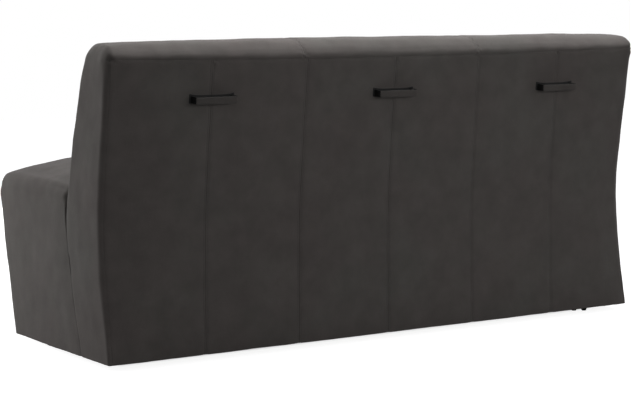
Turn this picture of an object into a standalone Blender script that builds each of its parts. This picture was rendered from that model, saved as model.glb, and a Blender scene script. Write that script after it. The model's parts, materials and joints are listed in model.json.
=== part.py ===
"""Three-seat dining sofa on hidden castors, with pull handles on its back.

Metres, +Z up, front towards -Y, floor at z = 0. The sofa is two upholstered
units: a back with a bent, boomerang-like section and a seat box whose front
leans out. Places along Y are measured from the back's rear hem, and one empty
shifts the whole sofa so that the origin lies under the middle of its box.
"""
import math

import bmesh
import bpy
from mathutils import Matrix, Vector

# Overall sizes
WIDTH = 1.900
HEIGHT = 0.909
HEM = 0.022
SEATS = 3
STRIPS_PER_SEAT = 2
GAP = 0.0003
NEAR = 0.001

# Back section, each point as (y, z); the lines are straight but for a rounded waist
TOP_BAND_DROP = 0.048
TOP_SEAM_SAG = 0.009
FRONT_TOP_DROP = 0.071
REAR_FOOT = (0.0, HEM)
REAR_WAIST = (-0.0445, 0.392)
REAR_TOP = (0.0135, HEIGHT - TOP_BAND_DROP)
REAR_SOFTNESS = 0.08
FRONT_FOOT = (-0.158, HEM)
FRONT_WAIST = (-0.244, 0.420)
FRONT_TOP = (-0.1405, HEIGHT - FRONT_TOP_DROP)
FRONT_SOFTNESS = 0.15
TOP_EDGE_DROP = 0.028
TOP_CROWN = 0.005
BACK_CROWN = 0.008

# Back upholstery
HOOD_WALL = 0.008
HOOD_LIP = 0.014
HOOD_OPENING_Z = 0.330
HOOD_END_SPAN = 0.100
HOOD_EDGE_SHARE = 0.2
PANEL_WALL = 0.008
PANEL_TOP_GAP = 0.002
PANEL_BRIDGE = 0.40
SEAM_DEPTH = 0.0025
SEAM_SHOULDER = 0.012

# Boards, rails and foam of the back
BOARD = 0.018
RIB_SPREAD = 0.475
END_FRAME_INSET = 0.036
PANEL_CLEARANCE = 0.003
LEDGE_Z = 0.300
FOAM = 0.045
FOAM_CLEARANCE = 0.007
TOP_RAIL_DROP = 0.060
TOP_RAIL = 0.022
TOP_RAIL_DEPTH = 0.070
HANDLE_RAIL_HEIGHT = 0.090
JOINING_RAIL = 0.022
JOINING_RAIL_LOW = 0.090
RAIL_END_CLEARANCE = 0.012
STRAP = 0.0015
STRAP_HEIGHT = 0.060
STRAP_PITCH = 0.120
STRAP_FIRST_Z = 0.470
STRAPS = 3
WAIST_STEPS = (-0.9, -0.45, 0.0)

# Seat
SEAT_FRONT_FOOT = -0.600
SEAT_LEAN = 0.233
SEAT_EDGE = 0.504
SEAT_CROWN = 0.042
CROWN_SPAN = 0.320
SEAT_EDGE_FALL = 0.010
CUSHION = 0.076
CUSHION_REAR_GAP = 0.004
CUSHION_EDGE = 0.035
CUSHION_END_SPAN = 0.200
PAD = 0.012
PAD_ROUNDING = 0.003
BOARD_LOW = 0.030
SEAT_BACK_GAP = 0.002
SPRING_ARCH = 0.018
SPRING_WIRE = 0.0018
SPRING_SWING = 0.022
SPRING_WAVES = 4
SPRINGS_PER_SEAT = 3
SPRING_PITCH = 0.180
RIB_DROP = 0.020
DUST_COVER = 0.0012

# Foot boards and castors
FOOT_BOARD_Z = 0.048
FOOT_BOARD_DEPTH = 0.110
REAR_FOOT_BOARD_INSET = 0.030
CASTOR_END_INSET = 0.1275
CASTOR_REAR_INSET = 0.085
CASTOR_FRONT_INSET = 0.082
CASTOR_TRAIL = 0.018
CASTOR_HEADINGS = {"front_castor_left": 250, "front_castor_right": 285,
                   "rear_castor_left": 60, "rear_castor_right": 270}
WHEEL_RADIUS = 0.0175
WHEEL_WIDTH = 0.014
WHEEL_CHAMFER = 0.002
WHEEL_SIDES = 24
WHEEL_TRACK = 0.033
AXLE_RADIUS = 0.003
AXLE_CLEARANCE = 0.0004
HOUSING_WEB = 0.012
HOUSING_SHELL = 0.002
HOUSING_CLEARANCE = 0.0015
HOUSING_HOOD_ANGLE = 10
HOUSING_WEB_ANGLE = 20
COLLAR_RADIUS = 0.011
STEM_RADIUS = 0.005
STEM_CLEARANCE = 0.0003

# Bolts that hold the back to the seat
BOLT_RADIUS = 0.004
BOLT_HEAD_RADIUS = 0.007
BOLT_HEAD = 0.005
BOLT_Z = 0.190
BOLT_XS = (-0.700, -0.200, 0.200, 0.700)
BOLT_CLEARANCE = 0.0005

# Pull handles
HANDLE_Z = 0.746
HANDLE_LENGTH = 0.136
HANDLE_INSET = 0.009
HANDLE_REACH = 0.032
HANDLE_HEIGHT = 0.020
HANDLE_POST = 0.009
HANDLE_BAR = 0.0065
HANDLE_OUTER_ROUND = 0.002
HANDLE_INNER_ROUND = 0.004
HANDLE_EDGE = 0.001
HANDLE_FOOT_MARGIN = 0.005
GRIP = 0.0022
GRIP_ROUNDING = 0.0007

HALF = WIDTH / 2
CUSHION_Z = SEAT_EDGE - CUSHION
BOARD_TOP = CUSHION_Z - SPRING_ARCH - 2 * SPRING_WIRE - 2 * GAP
PANEL_HALF = HALF - HOOD_LIP - GAP
SEAT_PITCH = WIDTH / SEATS
SEAT_XS = [SEAT_PITCH * (seat - (SEATS - 1) / 2) for seat in range(SEATS)]
HANDLE_XS = [(SEAT_PITCH - HANDLE_INSET) * (seat - (SEATS - 1) / 2) for seat in range(SEATS)]
AXLE_Z = WHEEL_RADIUS * math.cos(math.pi / WHEEL_SIDES)


def bent_line(low, waist, high, softness):
    """Line through three (y, z) points, straight below and above a rounded waist."""

    def terms(z):
        rise = z - waist[1]
        return rise, math.hypot(rise, softness) - softness

    low_rise, low_bend = terms(low[1])
    high_rise, high_bend = terms(high[1])
    low_offset, high_offset = low[0] - waist[0], high[0] - waist[0]
    scale = low_rise * high_bend - high_rise * low_bend
    tilt = (low_offset * high_bend - high_offset * low_bend) / scale
    bend = (low_rise * high_offset - high_rise * low_offset) / scale
    return lambda z: waist[0] + tilt * terms(z)[0] + bend * terms(z)[1]


def straight_line(low, high):
    """Straight line through two (y, z) points."""
    slope = (high[0] - low[0]) / (high[1] - low[1])
    return lambda z: low[0] + slope * (z - low[1])


def shifted(line, offset):
    return lambda z: line(z) + offset


def between(start, end, share):
    return start + (end - start) * share


front_of_back = bent_line(FRONT_FOOT, FRONT_WAIST, FRONT_TOP, FRONT_SOFTNESS)
rear_at_end = bent_line(REAR_FOOT, REAR_WAIST, REAR_TOP, REAR_SOFTNESS)
rear_chord = straight_line(REAR_FOOT, REAR_TOP)
seat_front = straight_line((SEAT_FRONT_FOOT, HEM), (SEAT_FRONT_FOOT - SEAT_LEAN, HEM + 1.0))


def rear_of_back(z, share):
    """Rear of the back: share 1 is the hollow ends, share 0 a straight run from hem to top."""
    return between(rear_chord(z), rear_at_end(z), share)


def seat_rear_line():
    """Straight plane just ahead of the back's lower front, where seat and back meet."""
    chord = straight_line(FRONT_FOOT, FRONT_WAIST)
    heights = [between(HEM, FRONT_WAIST[1], step / 20) for step in range(21)]
    bulge = max(chord(z) - front_of_back(z) for z in heights)
    return shifted(chord, -bulge - SEAT_BACK_GAP)


seat_rear = seat_rear_line()
SEAT_REAR_LEAN = seat_rear(0.0) - seat_rear(1.0)


def handle_slope():
    """How far the panel runs back for each metre of rise between a handle's lower and upper edge."""
    low, high = HANDLE_Z - HANDLE_HEIGHT / 2, HANDLE_Z + HANDLE_HEIGHT / 2
    return (rear_of_back(high, PANEL_BRIDGE) - rear_of_back(low, PANEL_BRIDGE)) / (high - low)


HANDLE_TILT = -math.atan(handle_slope())
HANDLE_SEAT_Y = rear_of_back(HANDLE_Z, PANEL_BRIDGE) + SEAM_DEPTH


def handle_point(out, up):
    """Point (y, z) in the handle's own frame: out from the panel's face and up along it."""
    cos, sin = math.cos(HANDLE_TILT), math.sin(HANDLE_TILT)
    return HANDLE_SEAT_Y + out * cos - up * sin, HANDLE_Z + out * sin + up * cos


REAR_REACH = handle_point(HANDLE_REACH, HANDLE_HEIGHT / 2)[0]
CUSHION_FRONT = seat_front(CUSHION_Z + CUSHION / 4)
ORIGIN_SHIFT = -(REAR_REACH + CUSHION_FRONT) / 2


def make_collections():
    """Empty the scene and return the sofa's collection and the cutters' collection."""
    for old in list(bpy.data.objects):
        bpy.data.objects.remove(old, do_unlink=True)
    sofa = bpy.data.collections.new("dining_sofa")
    cutters = bpy.data.collections.new("cutters")
    for collection in (sofa, cutters):
        bpy.context.scene.collection.children.link(collection)
    return sofa, cutters


SOFA, CUTTERS = make_collections()
DATUM = bpy.data.objects.new("rear_hem_datum", None)
DATUM.location.y = ORIGIN_SHIFT
SOFA.objects.link(DATUM)


def material(name, colour, roughness, metallic=0.0):
    result = bpy.data.materials.new(name)
    result.use_nodes = True
    shader = result.node_tree.nodes["Principled BSDF"]
    shader.inputs["Base Color"].default_value = (*colour, 1.0)
    shader.inputs["Roughness"].default_value = roughness
    shader.inputs["Metallic"].default_value = metallic
    return result


CLOTH = material("brushed_cloth", (0.105, 0.098, 0.093), 0.95)
FOAM_SKIN = material("seat_foam", (0.72, 0.66, 0.42), 0.90)
PLYWOOD = material("plywood", (0.52, 0.36, 0.20), 0.70)
WEBBING = material("elastic_webbing", (0.035, 0.035, 0.037), 0.85)
LINING = material("dust_lining", (0.015, 0.015, 0.016), 0.95)
SPRING_STEEL = material("spring_steel", (0.36, 0.36, 0.38), 0.35, 1.0)
ZINC = material("zinc_plate", (0.55, 0.56, 0.58), 0.35, 1.0)
BLACK_METAL = material("black_metal", (0.008, 0.008, 0.008), 0.45)
BLACK_NYLON = material("black_nylon", (0.012, 0.012, 0.013), 0.50)


def add(name, data, finish, parent=DATUM, location=(0, 0, 0), rotation=(0, 0, 0)):
    """Link one named piece to the sofa, placed under its parent."""
    piece = bpy.data.objects.new(name, data)
    if not data.materials:
        data.materials.append(finish)
    piece.parent = parent
    piece.location = location
    piece.rotation_euler = rotation
    SOFA.objects.link(piece)
    return piece


def mesh_from(bm, name, smooth=False):
    mesh = bpy.data.meshes.new(name)
    bm.to_mesh(mesh)
    bm.free()
    if smooth:
        mesh.shade_smooth()
    return mesh


def sliced_box(xs, ys, zs):
    """Box from the first to the last of each list, sliced at every value between."""
    bm = bmesh.new()
    bmesh.ops.create_cube(bm, size=1.0)
    for vert in bm.verts:
        for axis, cuts in enumerate((xs, ys, zs)):
            vert.co[axis] = cuts[0] if vert.co[axis] < 0 else cuts[-1]
    for axis, cuts in enumerate((xs, ys, zs)):
        normal = Vector((axis == 0, axis == 1, axis == 2))
        for cut in cuts[1:-1]:
            everything = bm.verts[:] + bm.edges[:] + bm.faces[:]
            bmesh.ops.bisect_plane(bm, geom=everything, plane_co=normal * cut, plane_no=normal)
    return bm


def subdivide(piece, levels):
    modifier = piece.modifiers.new("Subdivision", "SUBSURF")
    modifier.levels = levels
    modifier.render_levels = levels


def solidify(piece, thickness):
    modifier = piece.modifiers.new("Solidify", "SOLIDIFY")
    modifier.thickness = thickness
    modifier.offset = -1.0
    modifier.use_even_offset = True


def round_edges(piece, width):
    modifier = piece.modifiers.new("Bevel", "BEVEL")
    modifier.width = width
    modifier.segments = 2


def board(name, xs, front, rear, zs, finish=PLYWOOD):
    """Board between two lines that give y at each height."""
    bm = sliced_box(xs, (0.0, 1.0), zs)
    for vert in bm.verts:
        vert.co.y = between(front(vert.co.z), rear(vert.co.z), vert.co.y)
    return add(name, mesh_from(bm, name), finish)


def level(y):
    return lambda z: y


def outline_piece(name, points, thickness, finish, rounding=0.0):
    """Flat outline of (x, y) points, thickened both ways along its own z."""
    curve = bpy.data.curves.new(name, "CURVE")
    curve.dimensions = "2D"
    curve.fill_mode = "BOTH"
    curve.extrude = thickness / 2 - rounding
    curve.bevel_depth = rounding
    curve.bevel_resolution = 1 if rounding else 0
    if rounding:
        curve.offset = -rounding
    spline = curve.splines.new("POLY")
    spline.points.add(len(points) - 1)
    for point, (x, y) in zip(spline.points, points):
        point.co = (x, y, 0.0, 1.0)
    spline.use_cyclic_u = True
    return add(name, curve, finish)


def end_outline(name, points, x, thickness, finish, rounding=0.0):
    """Outline given as (y, z) points, standing across the sofa at x."""
    piece = outline_piece(name, points, thickness, finish, rounding)
    piece.rotation_euler = (math.pi / 2, 0, math.pi / 2)
    piece.location.x = x
    return piece


def arc(centre, radius, start, end, steps):
    """Points of an arc, angles in degrees."""
    angles = [math.radians(between(start, end, step / steps)) for step in range(steps + 1)]
    return [(centre[0] + radius * math.cos(a), centre[1] + radius * math.sin(a)) for a in angles]


def cylinder(radius, low, high, sides):
    bm = bmesh.new()
    spot = Matrix.Translation((0, 0, (low + high) / 2))
    bmesh.ops.create_cone(bm, cap_ends=True, segments=sides, radius1=radius, radius2=radius,
                          depth=high - low, matrix=spot)
    return bm


def turned(name, profile, sides, closed):
    """Mesh of a turned shape from (radius, z) points, run down its outer side."""
    bm = bmesh.new()
    verts = [bm.verts.new((radius, 0, z)) for radius, z in profile]
    for first, second in zip(verts, verts[1:]):
        bm.edges.new((first, second))
    if closed:
        bm.edges.new((verts[-1], verts[0]))
    blank = bpy.data.objects.new(name, mesh_from(bm, name))
    CUTTERS.objects.link(blank)
    screw = blank.modifiers.new("Screw", "SCREW")
    screw.steps = screw.render_steps = sides
    screw.use_merge_vertices = True
    screw.merge_threshold = 0.00001
    return evaluated(blank)


def evaluated(blank):
    """Mesh of an object as its modifiers leave it; the object itself is removed."""
    name = blank.data.name
    graph = bpy.context.evaluated_depsgraph_get()
    mesh = bpy.data.meshes.new_from_object(blank.evaluated_get(graph))
    bm = bmesh.new()
    bm.from_mesh(mesh)
    bmesh.ops.remove_doubles(bm, verts=bm.verts, dist=0.000001)
    bm.to_mesh(mesh)
    bm.free()
    mesh.name = name
    mesh.materials.clear()
    bpy.data.objects.remove(blank, do_unlink=True)
    return mesh


def boolean(piece, operation, other):
    modifier = piece.modifiers.new(other.name, "BOOLEAN")
    modifier.operation = operation
    modifier.object = other


def cutter(name, bm, location=(0, 0, 0), rotation=(0, 0, 0), parent=DATUM):
    """Hidden tool body used by a Boolean."""
    tool = bpy.data.objects.new(name, mesh_from(bm, name))
    tool.parent = parent
    tool.location = location
    tool.rotation_euler = rotation
    tool.hide_render = True
    tool.display_type = "WIRE"
    CUTTERS.objects.link(tool)
    return tool


def side_names(stem):
    return ((-1, f"{stem}_left"), (1, f"{stem}_right"))


def strap_heights(index):
    low = STRAP_FIRST_Z + index * STRAP_PITCH
    return low, low + STRAP_HEIGHT


def front_stations(low, high):
    """Heights at which pieces behind the back's front change slope together."""
    bends = [FRONT_WAIST[1] + FRONT_SOFTNESS * step for step in WAIST_STEPS]
    edges = [z for index in range(STRAPS) for z in strap_heights(index)]
    return [low] + [z for z in bends + edges if low < z < high] + [high]


def seam_sag(x):
    """How far the seam under the top band hangs below its height at the ends."""
    return TOP_SEAM_SAG * (1 - (x / HALF) ** 2)


def build_hood():
    """Sewn cover of the back: front, top band and end bands, open below and behind."""
    end = HALF - HOOD_LIP
    quarter = WIDTH / 4
    soft_end = HALF - HOOD_END_SPAN
    xs = [-HALF, -end, -soft_end, -quarter, 0.0, quarter, soft_end, end, HALF]
    mid_low = between(HEM, HOOD_OPENING_Z, 0.5)
    above_waist = FRONT_WAIST[1] + FRONT_SOFTNESS
    mid_high = between(above_waist, REAR_TOP[1], 0.5)
    top = HEIGHT - TOP_EDGE_DROP
    zs = [HEM, mid_low, HOOD_OPENING_Z, FRONT_WAIST[1], above_waist, mid_high, REAR_TOP[1], top]
    bm = sliced_box(xs, (0.0, HOOD_EDGE_SHARE, 1 - HOOD_EDGE_SHARE, 1.0), zs)

    def left_open(face):
        centre = face.calc_center_median()
        inside = abs(centre.x) < end
        behind = centre.y > 1 - NEAR and centre.z < REAR_TOP[1]
        ahead = centre.y < NEAR and centre.z < HOOD_OPENING_Z
        return centre.z < HEM + NEAR or inside and (behind or ahead)

    bmesh.ops.delete(bm, geom=[face for face in bm.faces if left_open(face)], context="FACES")
    for vert in bm.verts:
        x, depth, z = vert.co
        crown = 0.0
        if z > HOOD_OPENING_Z + NEAR:
            crown = BACK_CROWN * (1 - (x / HALF) ** 4)
        vert.co.y = between(front_of_back(z) - crown, rear_at_end(z), depth)
        if z > top - NEAR and NEAR < depth < 1 - NEAR:
            vert.co.z = HEIGHT - TOP_CROWN * (x / HALF) ** 4
        if depth > 1 - NEAR and abs(z - REAR_TOP[1]) < NEAR:
            vert.co.z -= seam_sag(x)
    corners = bm.verts.layers.float.new("crease_vert")
    for vert in bm.verts:
        at_lip = abs(abs(vert.co.x) - end) < NEAR
        at_opening = min(abs(vert.co.z - edge) for edge in (HOOD_OPENING_Z, REAR_TOP[1])) < NEAR
        vert[corners] = 1.0 if at_lip and at_opening and vert.is_boundary else 0.0
    hood = add("back_hood", mesh_from(bm, "back_hood", smooth=True), CLOTH)
    subdivide(hood, 1)
    solidify(hood, HOOD_WALL)


def hollow_share(x):
    """How far the stretched panel follows the hollow of the end bands at x."""
    flat = HANDLE_XS[-1] + HANDLE_LENGTH / 2 + SEAM_SHOULDER
    share = max(0.0, (abs(x) - flat) / (PANEL_HALF - flat))
    return between(PANEL_BRIDGE, 1.0, share * share)


def panel_columns():
    """Column places across the back panel and whether each lies in a seam or at an end."""
    strips = SEATS * STRIPS_PER_SEAT
    seams = [WIDTH / strips * (strip - strips / 2) for strip in range(1, strips)]
    inner_foot = HANDLE_LENGTH / 2 - HANDLE_POST - HANDLE_FOOT_MARGIN
    outer_foot = HANDLE_LENGTH / 2 + HANDLE_FOOT_MARGIN
    sunk = [-PANEL_HALF] + seams + [PANEL_HALF]
    raised = [SEAM_SHOULDER - PANEL_HALF, PANEL_HALF - SEAM_SHOULDER]
    raised += [seam + side * SEAM_SHOULDER for seam in seams for side in (-1, 1)]
    raised += [middle + side * offset for middle in HANDLE_XS for side in (-1, 1)
               for offset in (inner_foot, outer_foot)]
    raised += [between(first, second, 0.5) for first, second in zip(sunk, sunk[1:])]
    return sorted([(x, True) for x in sunk] + [(x, False) for x in raised])


def build_back_panel():
    """Outer back of six strips, drawn in at the twin-stitched seams between them."""
    columns = panel_columns()
    waist = REAR_WAIST[1]
    foot_half = HANDLE_HEIGHT / 2 + HANDLE_FOOT_MARGIN
    foot_low, foot_high = HANDLE_Z - foot_half, HANDLE_Z + foot_half
    soft_low, soft_high = waist - REAR_SOFTNESS, waist + REAR_SOFTNESS
    rows = [HEM, between(HEM, soft_low, 0.5), soft_low, waist, soft_high,
            between(soft_high, foot_low, 0.5), foot_low, foot_high, REAR_TOP[1] - PANEL_TOP_GAP]
    bm = bmesh.new()
    bmesh.ops.create_grid(bm, x_segments=len(columns) - 1, y_segments=len(rows) - 1, size=1.0)
    for vert in bm.verts:
        x, in_seam = columns[round((vert.co.x + 1) / 2 * (len(columns) - 1))]
        z = rows[round((vert.co.y + 1) / 2 * (len(rows) - 1))]
        lift = 0.0 if in_seam or z == rows[-1] else SEAM_DEPTH
        drop = seam_sag(x) if z == rows[-1] else 0.0
        vert.co = (x, rear_of_back(z, hollow_share(x)) + lift, z - drop)
    bmesh.ops.reverse_faces(bm, faces=bm.faces)
    panel = add("back_panel", mesh_from(bm, "back_panel", smooth=True), CLOTH)
    solidify(panel, PANEL_WALL)


RIB_FRONT_INSET = HOOD_WALL + FOAM_CLEARANCE + FOAM + STRAP + 5 * GAP
RIB_LOW = FOOT_BOARD_Z + BOARD + GAP
RIB_TOP = HEIGHT - TOP_RAIL_DROP - GAP
rib_front = shifted(front_of_back, RIB_FRONT_INSET)
joining_line = shifted(seat_rear, JOINING_RAIL + 2 * GAP)


def rib_front_points(lower_line):
    """Front edge of a rib from the top down: foam face, foam ledge, then a lower straight run."""
    points = [(rib_front(z), z) for z in reversed(front_stations(LEDGE_Z, RIB_TOP))]
    return points + [(lower_line(LEDGE_Z), LEDGE_Z), (lower_line(RIB_LOW), RIB_LOW)]


def rear_stations():
    waist = REAR_WAIST[1]
    return [RIB_LOW] + [waist + REAR_SOFTNESS * step for step in (-2, -1, 0, 1, 2)]


def build_back_frame():
    """End frames, inner ribs, rails, straps and foam of the back unit."""
    rear = [(rear_at_end(z) - END_FRAME_INSET, z) for z in rear_stations() + [RIB_TOP]]
    front = rib_front_points(shifted(front_of_back, END_FRAME_INSET))
    for side, name in side_names("back_end_frame"):
        x = side * (HALF - HOOD_WALL - GAP - BOARD / 2)
        end_outline(name, rear + front, x, BOARD, PLYWOOD)

    rail_out = -PANEL_WALL - SEAM_DEPTH - GAP
    notch = HANDLE_RAIL_HEIGHT / 2 + GAP
    mouth = rail_out - PANEL_CLEARANCE
    floor_of_notch = rail_out - BOARD - GAP
    inset = PANEL_WALL - SEAM_DEPTH + PANEL_CLEARANCE
    rear = [(rear_of_back(z, PANEL_BRIDGE) - inset, z) for z in rear_stations()]
    rear += [handle_point(mouth, -notch), handle_point(floor_of_notch, -notch)]
    rear += [handle_point(floor_of_notch, notch), handle_point(mouth, notch)]
    rear.append((rear_of_back(RIB_TOP, PANEL_BRIDGE) - inset, RIB_TOP))
    for side, name in side_names("back_rib"):
        end_outline(name, rear + rib_front_points(joining_line), side * RIB_SPREAD, BOARD, PLYWOOD)

    inside = HALF - HOOD_WALL - BOARD / 2
    rail_low = HEIGHT - TOP_RAIL_DROP
    rail_front = rib_front(RIB_TOP)
    board("back_top_rail", (-inside, inside), level(rail_front), level(rail_front + TOP_RAIL_DEPTH),
          (rail_low, rail_low + TOP_RAIL))

    rail_half = HANDLE_XS[-1] + HANDLE_LENGTH / 2 + SEAM_SHOULDER
    bm = sliced_box((-rail_half, rail_half), (rail_out - BOARD, rail_out),
                    (-HANDLE_RAIL_HEIGHT / 2, HANDLE_RAIL_HEIGHT / 2))
    add("back_handle_rail", mesh_from(bm, "back_handle_rail"), PLYWOOD,
        location=(0, HANDLE_SEAT_Y, HANDLE_Z), rotation=(HANDLE_TILT, 0, 0))

    rail_end = HALF - HOOD_WALL - HOOD_LIP - RAIL_END_CLEARANCE
    rail = board("back_joining_rail", (-rail_end, rail_end), shifted(seat_rear, GAP),
                 shifted(seat_rear, GAP + JOINING_RAIL), (JOINING_RAIL_LOW, LEDGE_Z - GAP))

    foam_front = HOOD_WALL + FOAM_CLEARANCE
    stations = front_stations(LEDGE_Z + GAP, HEIGHT - TOP_RAIL_DROP)
    outline = [(front_of_back(z) + foam_front, z) for z in stations]
    outline += [(front_of_back(z) + foam_front + FOAM, z) for z in reversed(stations)]
    end_outline("back_foam", outline, 0.0, 2 * (HALF - HOOD_WALL - HOOD_LIP), FOAM_SKIN)

    for index in range(STRAPS):
        low, high = strap_heights(index)
        slope = (rib_front(high) - rib_front(low)) / (high - low)
        bm = sliced_box((-inside, inside), (-STRAP - GAP, -GAP), (-STRAP_HEIGHT / 2, STRAP_HEIGHT / 2))
        add(f"back_webbing_{index + 1}", mesh_from(bm, "back_webbing"), WEBBING,
            location=(0, (rib_front(low) + rib_front(high)) / 2, (low + high) / 2),
            rotation=(-math.atan(slope), 0, 0))
    return rail


def build_seat_box():
    """Boards of the seat box, all leaning with its front."""
    front_face = shifted(seat_front, PAD + GAP)
    behind_front = shifted(front_face, BOARD + GAP)
    rear_face = shifted(seat_rear, -BOARD)
    ahead_of_rear = shifted(rear_face, -GAP)
    inside = HALF - PAD - GAP
    heights = (BOARD_LOW, BOARD_TOP)
    board("seat_front_board", (-inside, inside), front_face, shifted(front_face, BOARD), heights)
    rear_board = board("seat_rear_board", (-inside, inside), rear_face, seat_rear, heights)
    for side, name in side_names("seat_end_board"):
        outer = side * inside
        inner = side * (inside - BOARD)
        board(name, sorted((outer, inner)), behind_front, ahead_of_rear, heights)
    foot_high = FOOT_BOARD_Z + BOARD + GAP
    for side, name in side_names("seat_rib"):
        x = side * SEAT_PITCH / 2
        rib_heights = (foot_high, BOARD_TOP - RIB_DROP)
        board(name, (x - BOARD / 2, x + BOARD / 2), behind_front, ahead_of_rear, rib_heights)
    return rear_board, inside - BOARD - GAP, behind_front


def build_seat_springs():
    """Sinuous springs from the front board to the rear board, arched under the cushion."""
    z = BOARD_TOP + GAP + SPRING_WIRE
    start = seat_front(BOARD_TOP) + PAD + GAP + BOARD / 2
    end = seat_rear(BOARD_TOP) - BOARD / 2
    steps = SPRING_WAVES * 8
    number = 0
    for seat in range(SEATS):
        for place in range(SPRINGS_PER_SEAT):
            number += 1
            x = SEAT_XS[seat] + SPRING_PITCH * (place - (SPRINGS_PER_SEAT - 1) / 2)
            curve = bpy.data.curves.new("seat_spring", "CURVE")
            curve.dimensions = "3D"
            curve.bevel_depth = SPRING_WIRE
            curve.bevel_resolution = 0
            curve.use_fill_caps = True
            spline = curve.splines.new("POLY")
            spline.points.add(steps)
            for step, point in enumerate(spline.points):
                along = step / steps
                swing = SPRING_SWING * math.cos(2 * math.pi * SPRING_WAVES * along)
                rise = SPRING_ARCH * math.sin(math.pi * along)
                point.co = (x + swing, between(start, end, along), z + rise, 1.0)
            add(f"seat_spring_{number}", curve, SPRING_STEEL)


def build_seat_upholstery():
    """Crowned seat cushion and the padded cloth on the front and ends of the box."""
    front = CUSHION_FRONT
    rear = front_of_back(CUSHION_Z) - BACK_CROWN - CUSHION_REAR_GAP
    offsets = [SEAT_PITCH / 2, HALF - CUSHION_END_SPAN, HALF - CUSHION_EDGE, HALF]
    xs = [-offset for offset in reversed(offsets)] + [0.0] + offsets
    ys = [front, front + CUSHION_EDGE, between(front, rear, 0.5), rear - CUSHION_EDGE, rear]
    top = SEAT_EDGE + SEAT_CROWN
    bm = sliced_box(xs, ys, (CUSHION_Z, CUSHION_Z + CUSHION / 3, top))
    for vert in bm.verts:
        x, y, z = vert.co
        from_full = max(0.0, 1 - (HALF - abs(x)) / CROWN_SPAN)
        from_middle = 2 * (y - front) / (rear - front) - 1
        if z > top - NEAR:
            vert.co.z = top - SEAT_CROWN * from_full ** 2 - SEAT_EDGE_FALL * from_middle ** 4
        if z < CUSHION_Z + NEAR and y < front + NEAR:
            vert.co.y = seat_front(CUSHION_Z)
    cushion = add("seat_cushion", mesh_from(bm, "seat_cushion", smooth=True), CLOTH)
    crease = cushion.data.attributes.new("crease_edge", "FLOAT", "EDGE")
    for edge in cushion.data.edges:
        first, second = (cushion.data.vertices[index].co for index in edge.vertices)
        low = max(first.z, second.z) < CUSHION_Z + NEAR
        crease.data[edge.index].value = 1.0 if low else 0.0
    subdivide(cushion, 1)

    top_of_pads = CUSHION_Z - GAP
    front_pad = board("seat_front_pad", (-HALF, HALF), seat_front, shifted(seat_front, PAD),
                      (HEM, top_of_pads), CLOTH)
    round_edges(front_pad, PAD_ROUNDING)
    heights = [between(HEM, top_of_pads, step / 6) for step in range(7)]
    behind_front_pad = shifted(seat_front, PAD + GAP)
    outline = [(behind_front_pad(HEM), HEM), (behind_front_pad(top_of_pads), top_of_pads)]
    outline += [(front_of_back(z) - SEAT_BACK_GAP, z) for z in reversed(heights)]
    for side, name in side_names("seat_end_pad"):
        end_outline(name, outline, side * (HALF - PAD / 2), PAD, CLOTH, PAD_ROUNDING)


def build_foot_boards(inside, behind_front):
    """Boards that take the castors, and the lining under the seat box."""
    heights = (FOOT_BOARD_Z, FOOT_BOARD_Z + BOARD)
    rear_edge = REAR_FOOT[0] - REAR_FOOT_BOARD_INSET
    rear_end = HALF - HOOD_WALL - GAP
    rear = board("rear_foot_board", (-rear_end, rear_end), level(rear_edge - FOOT_BOARD_DEPTH),
                 level(rear_edge), heights)
    front_edge = behind_front(FOOT_BOARD_Z)
    front = board("front_foot_board", (-inside, inside), level(front_edge),
                  level(front_edge + FOOT_BOARD_DEPTH), heights)
    cover_top = BOARD_LOW - GAP
    board("dust_cover", (-inside - BOARD, inside + BOARD), level(front_edge + FOOT_BOARD_DEPTH),
          level(seat_rear(BOARD_LOW)), (cover_top - DUST_COVER, cover_top), LINING)
    return front, rear


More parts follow.
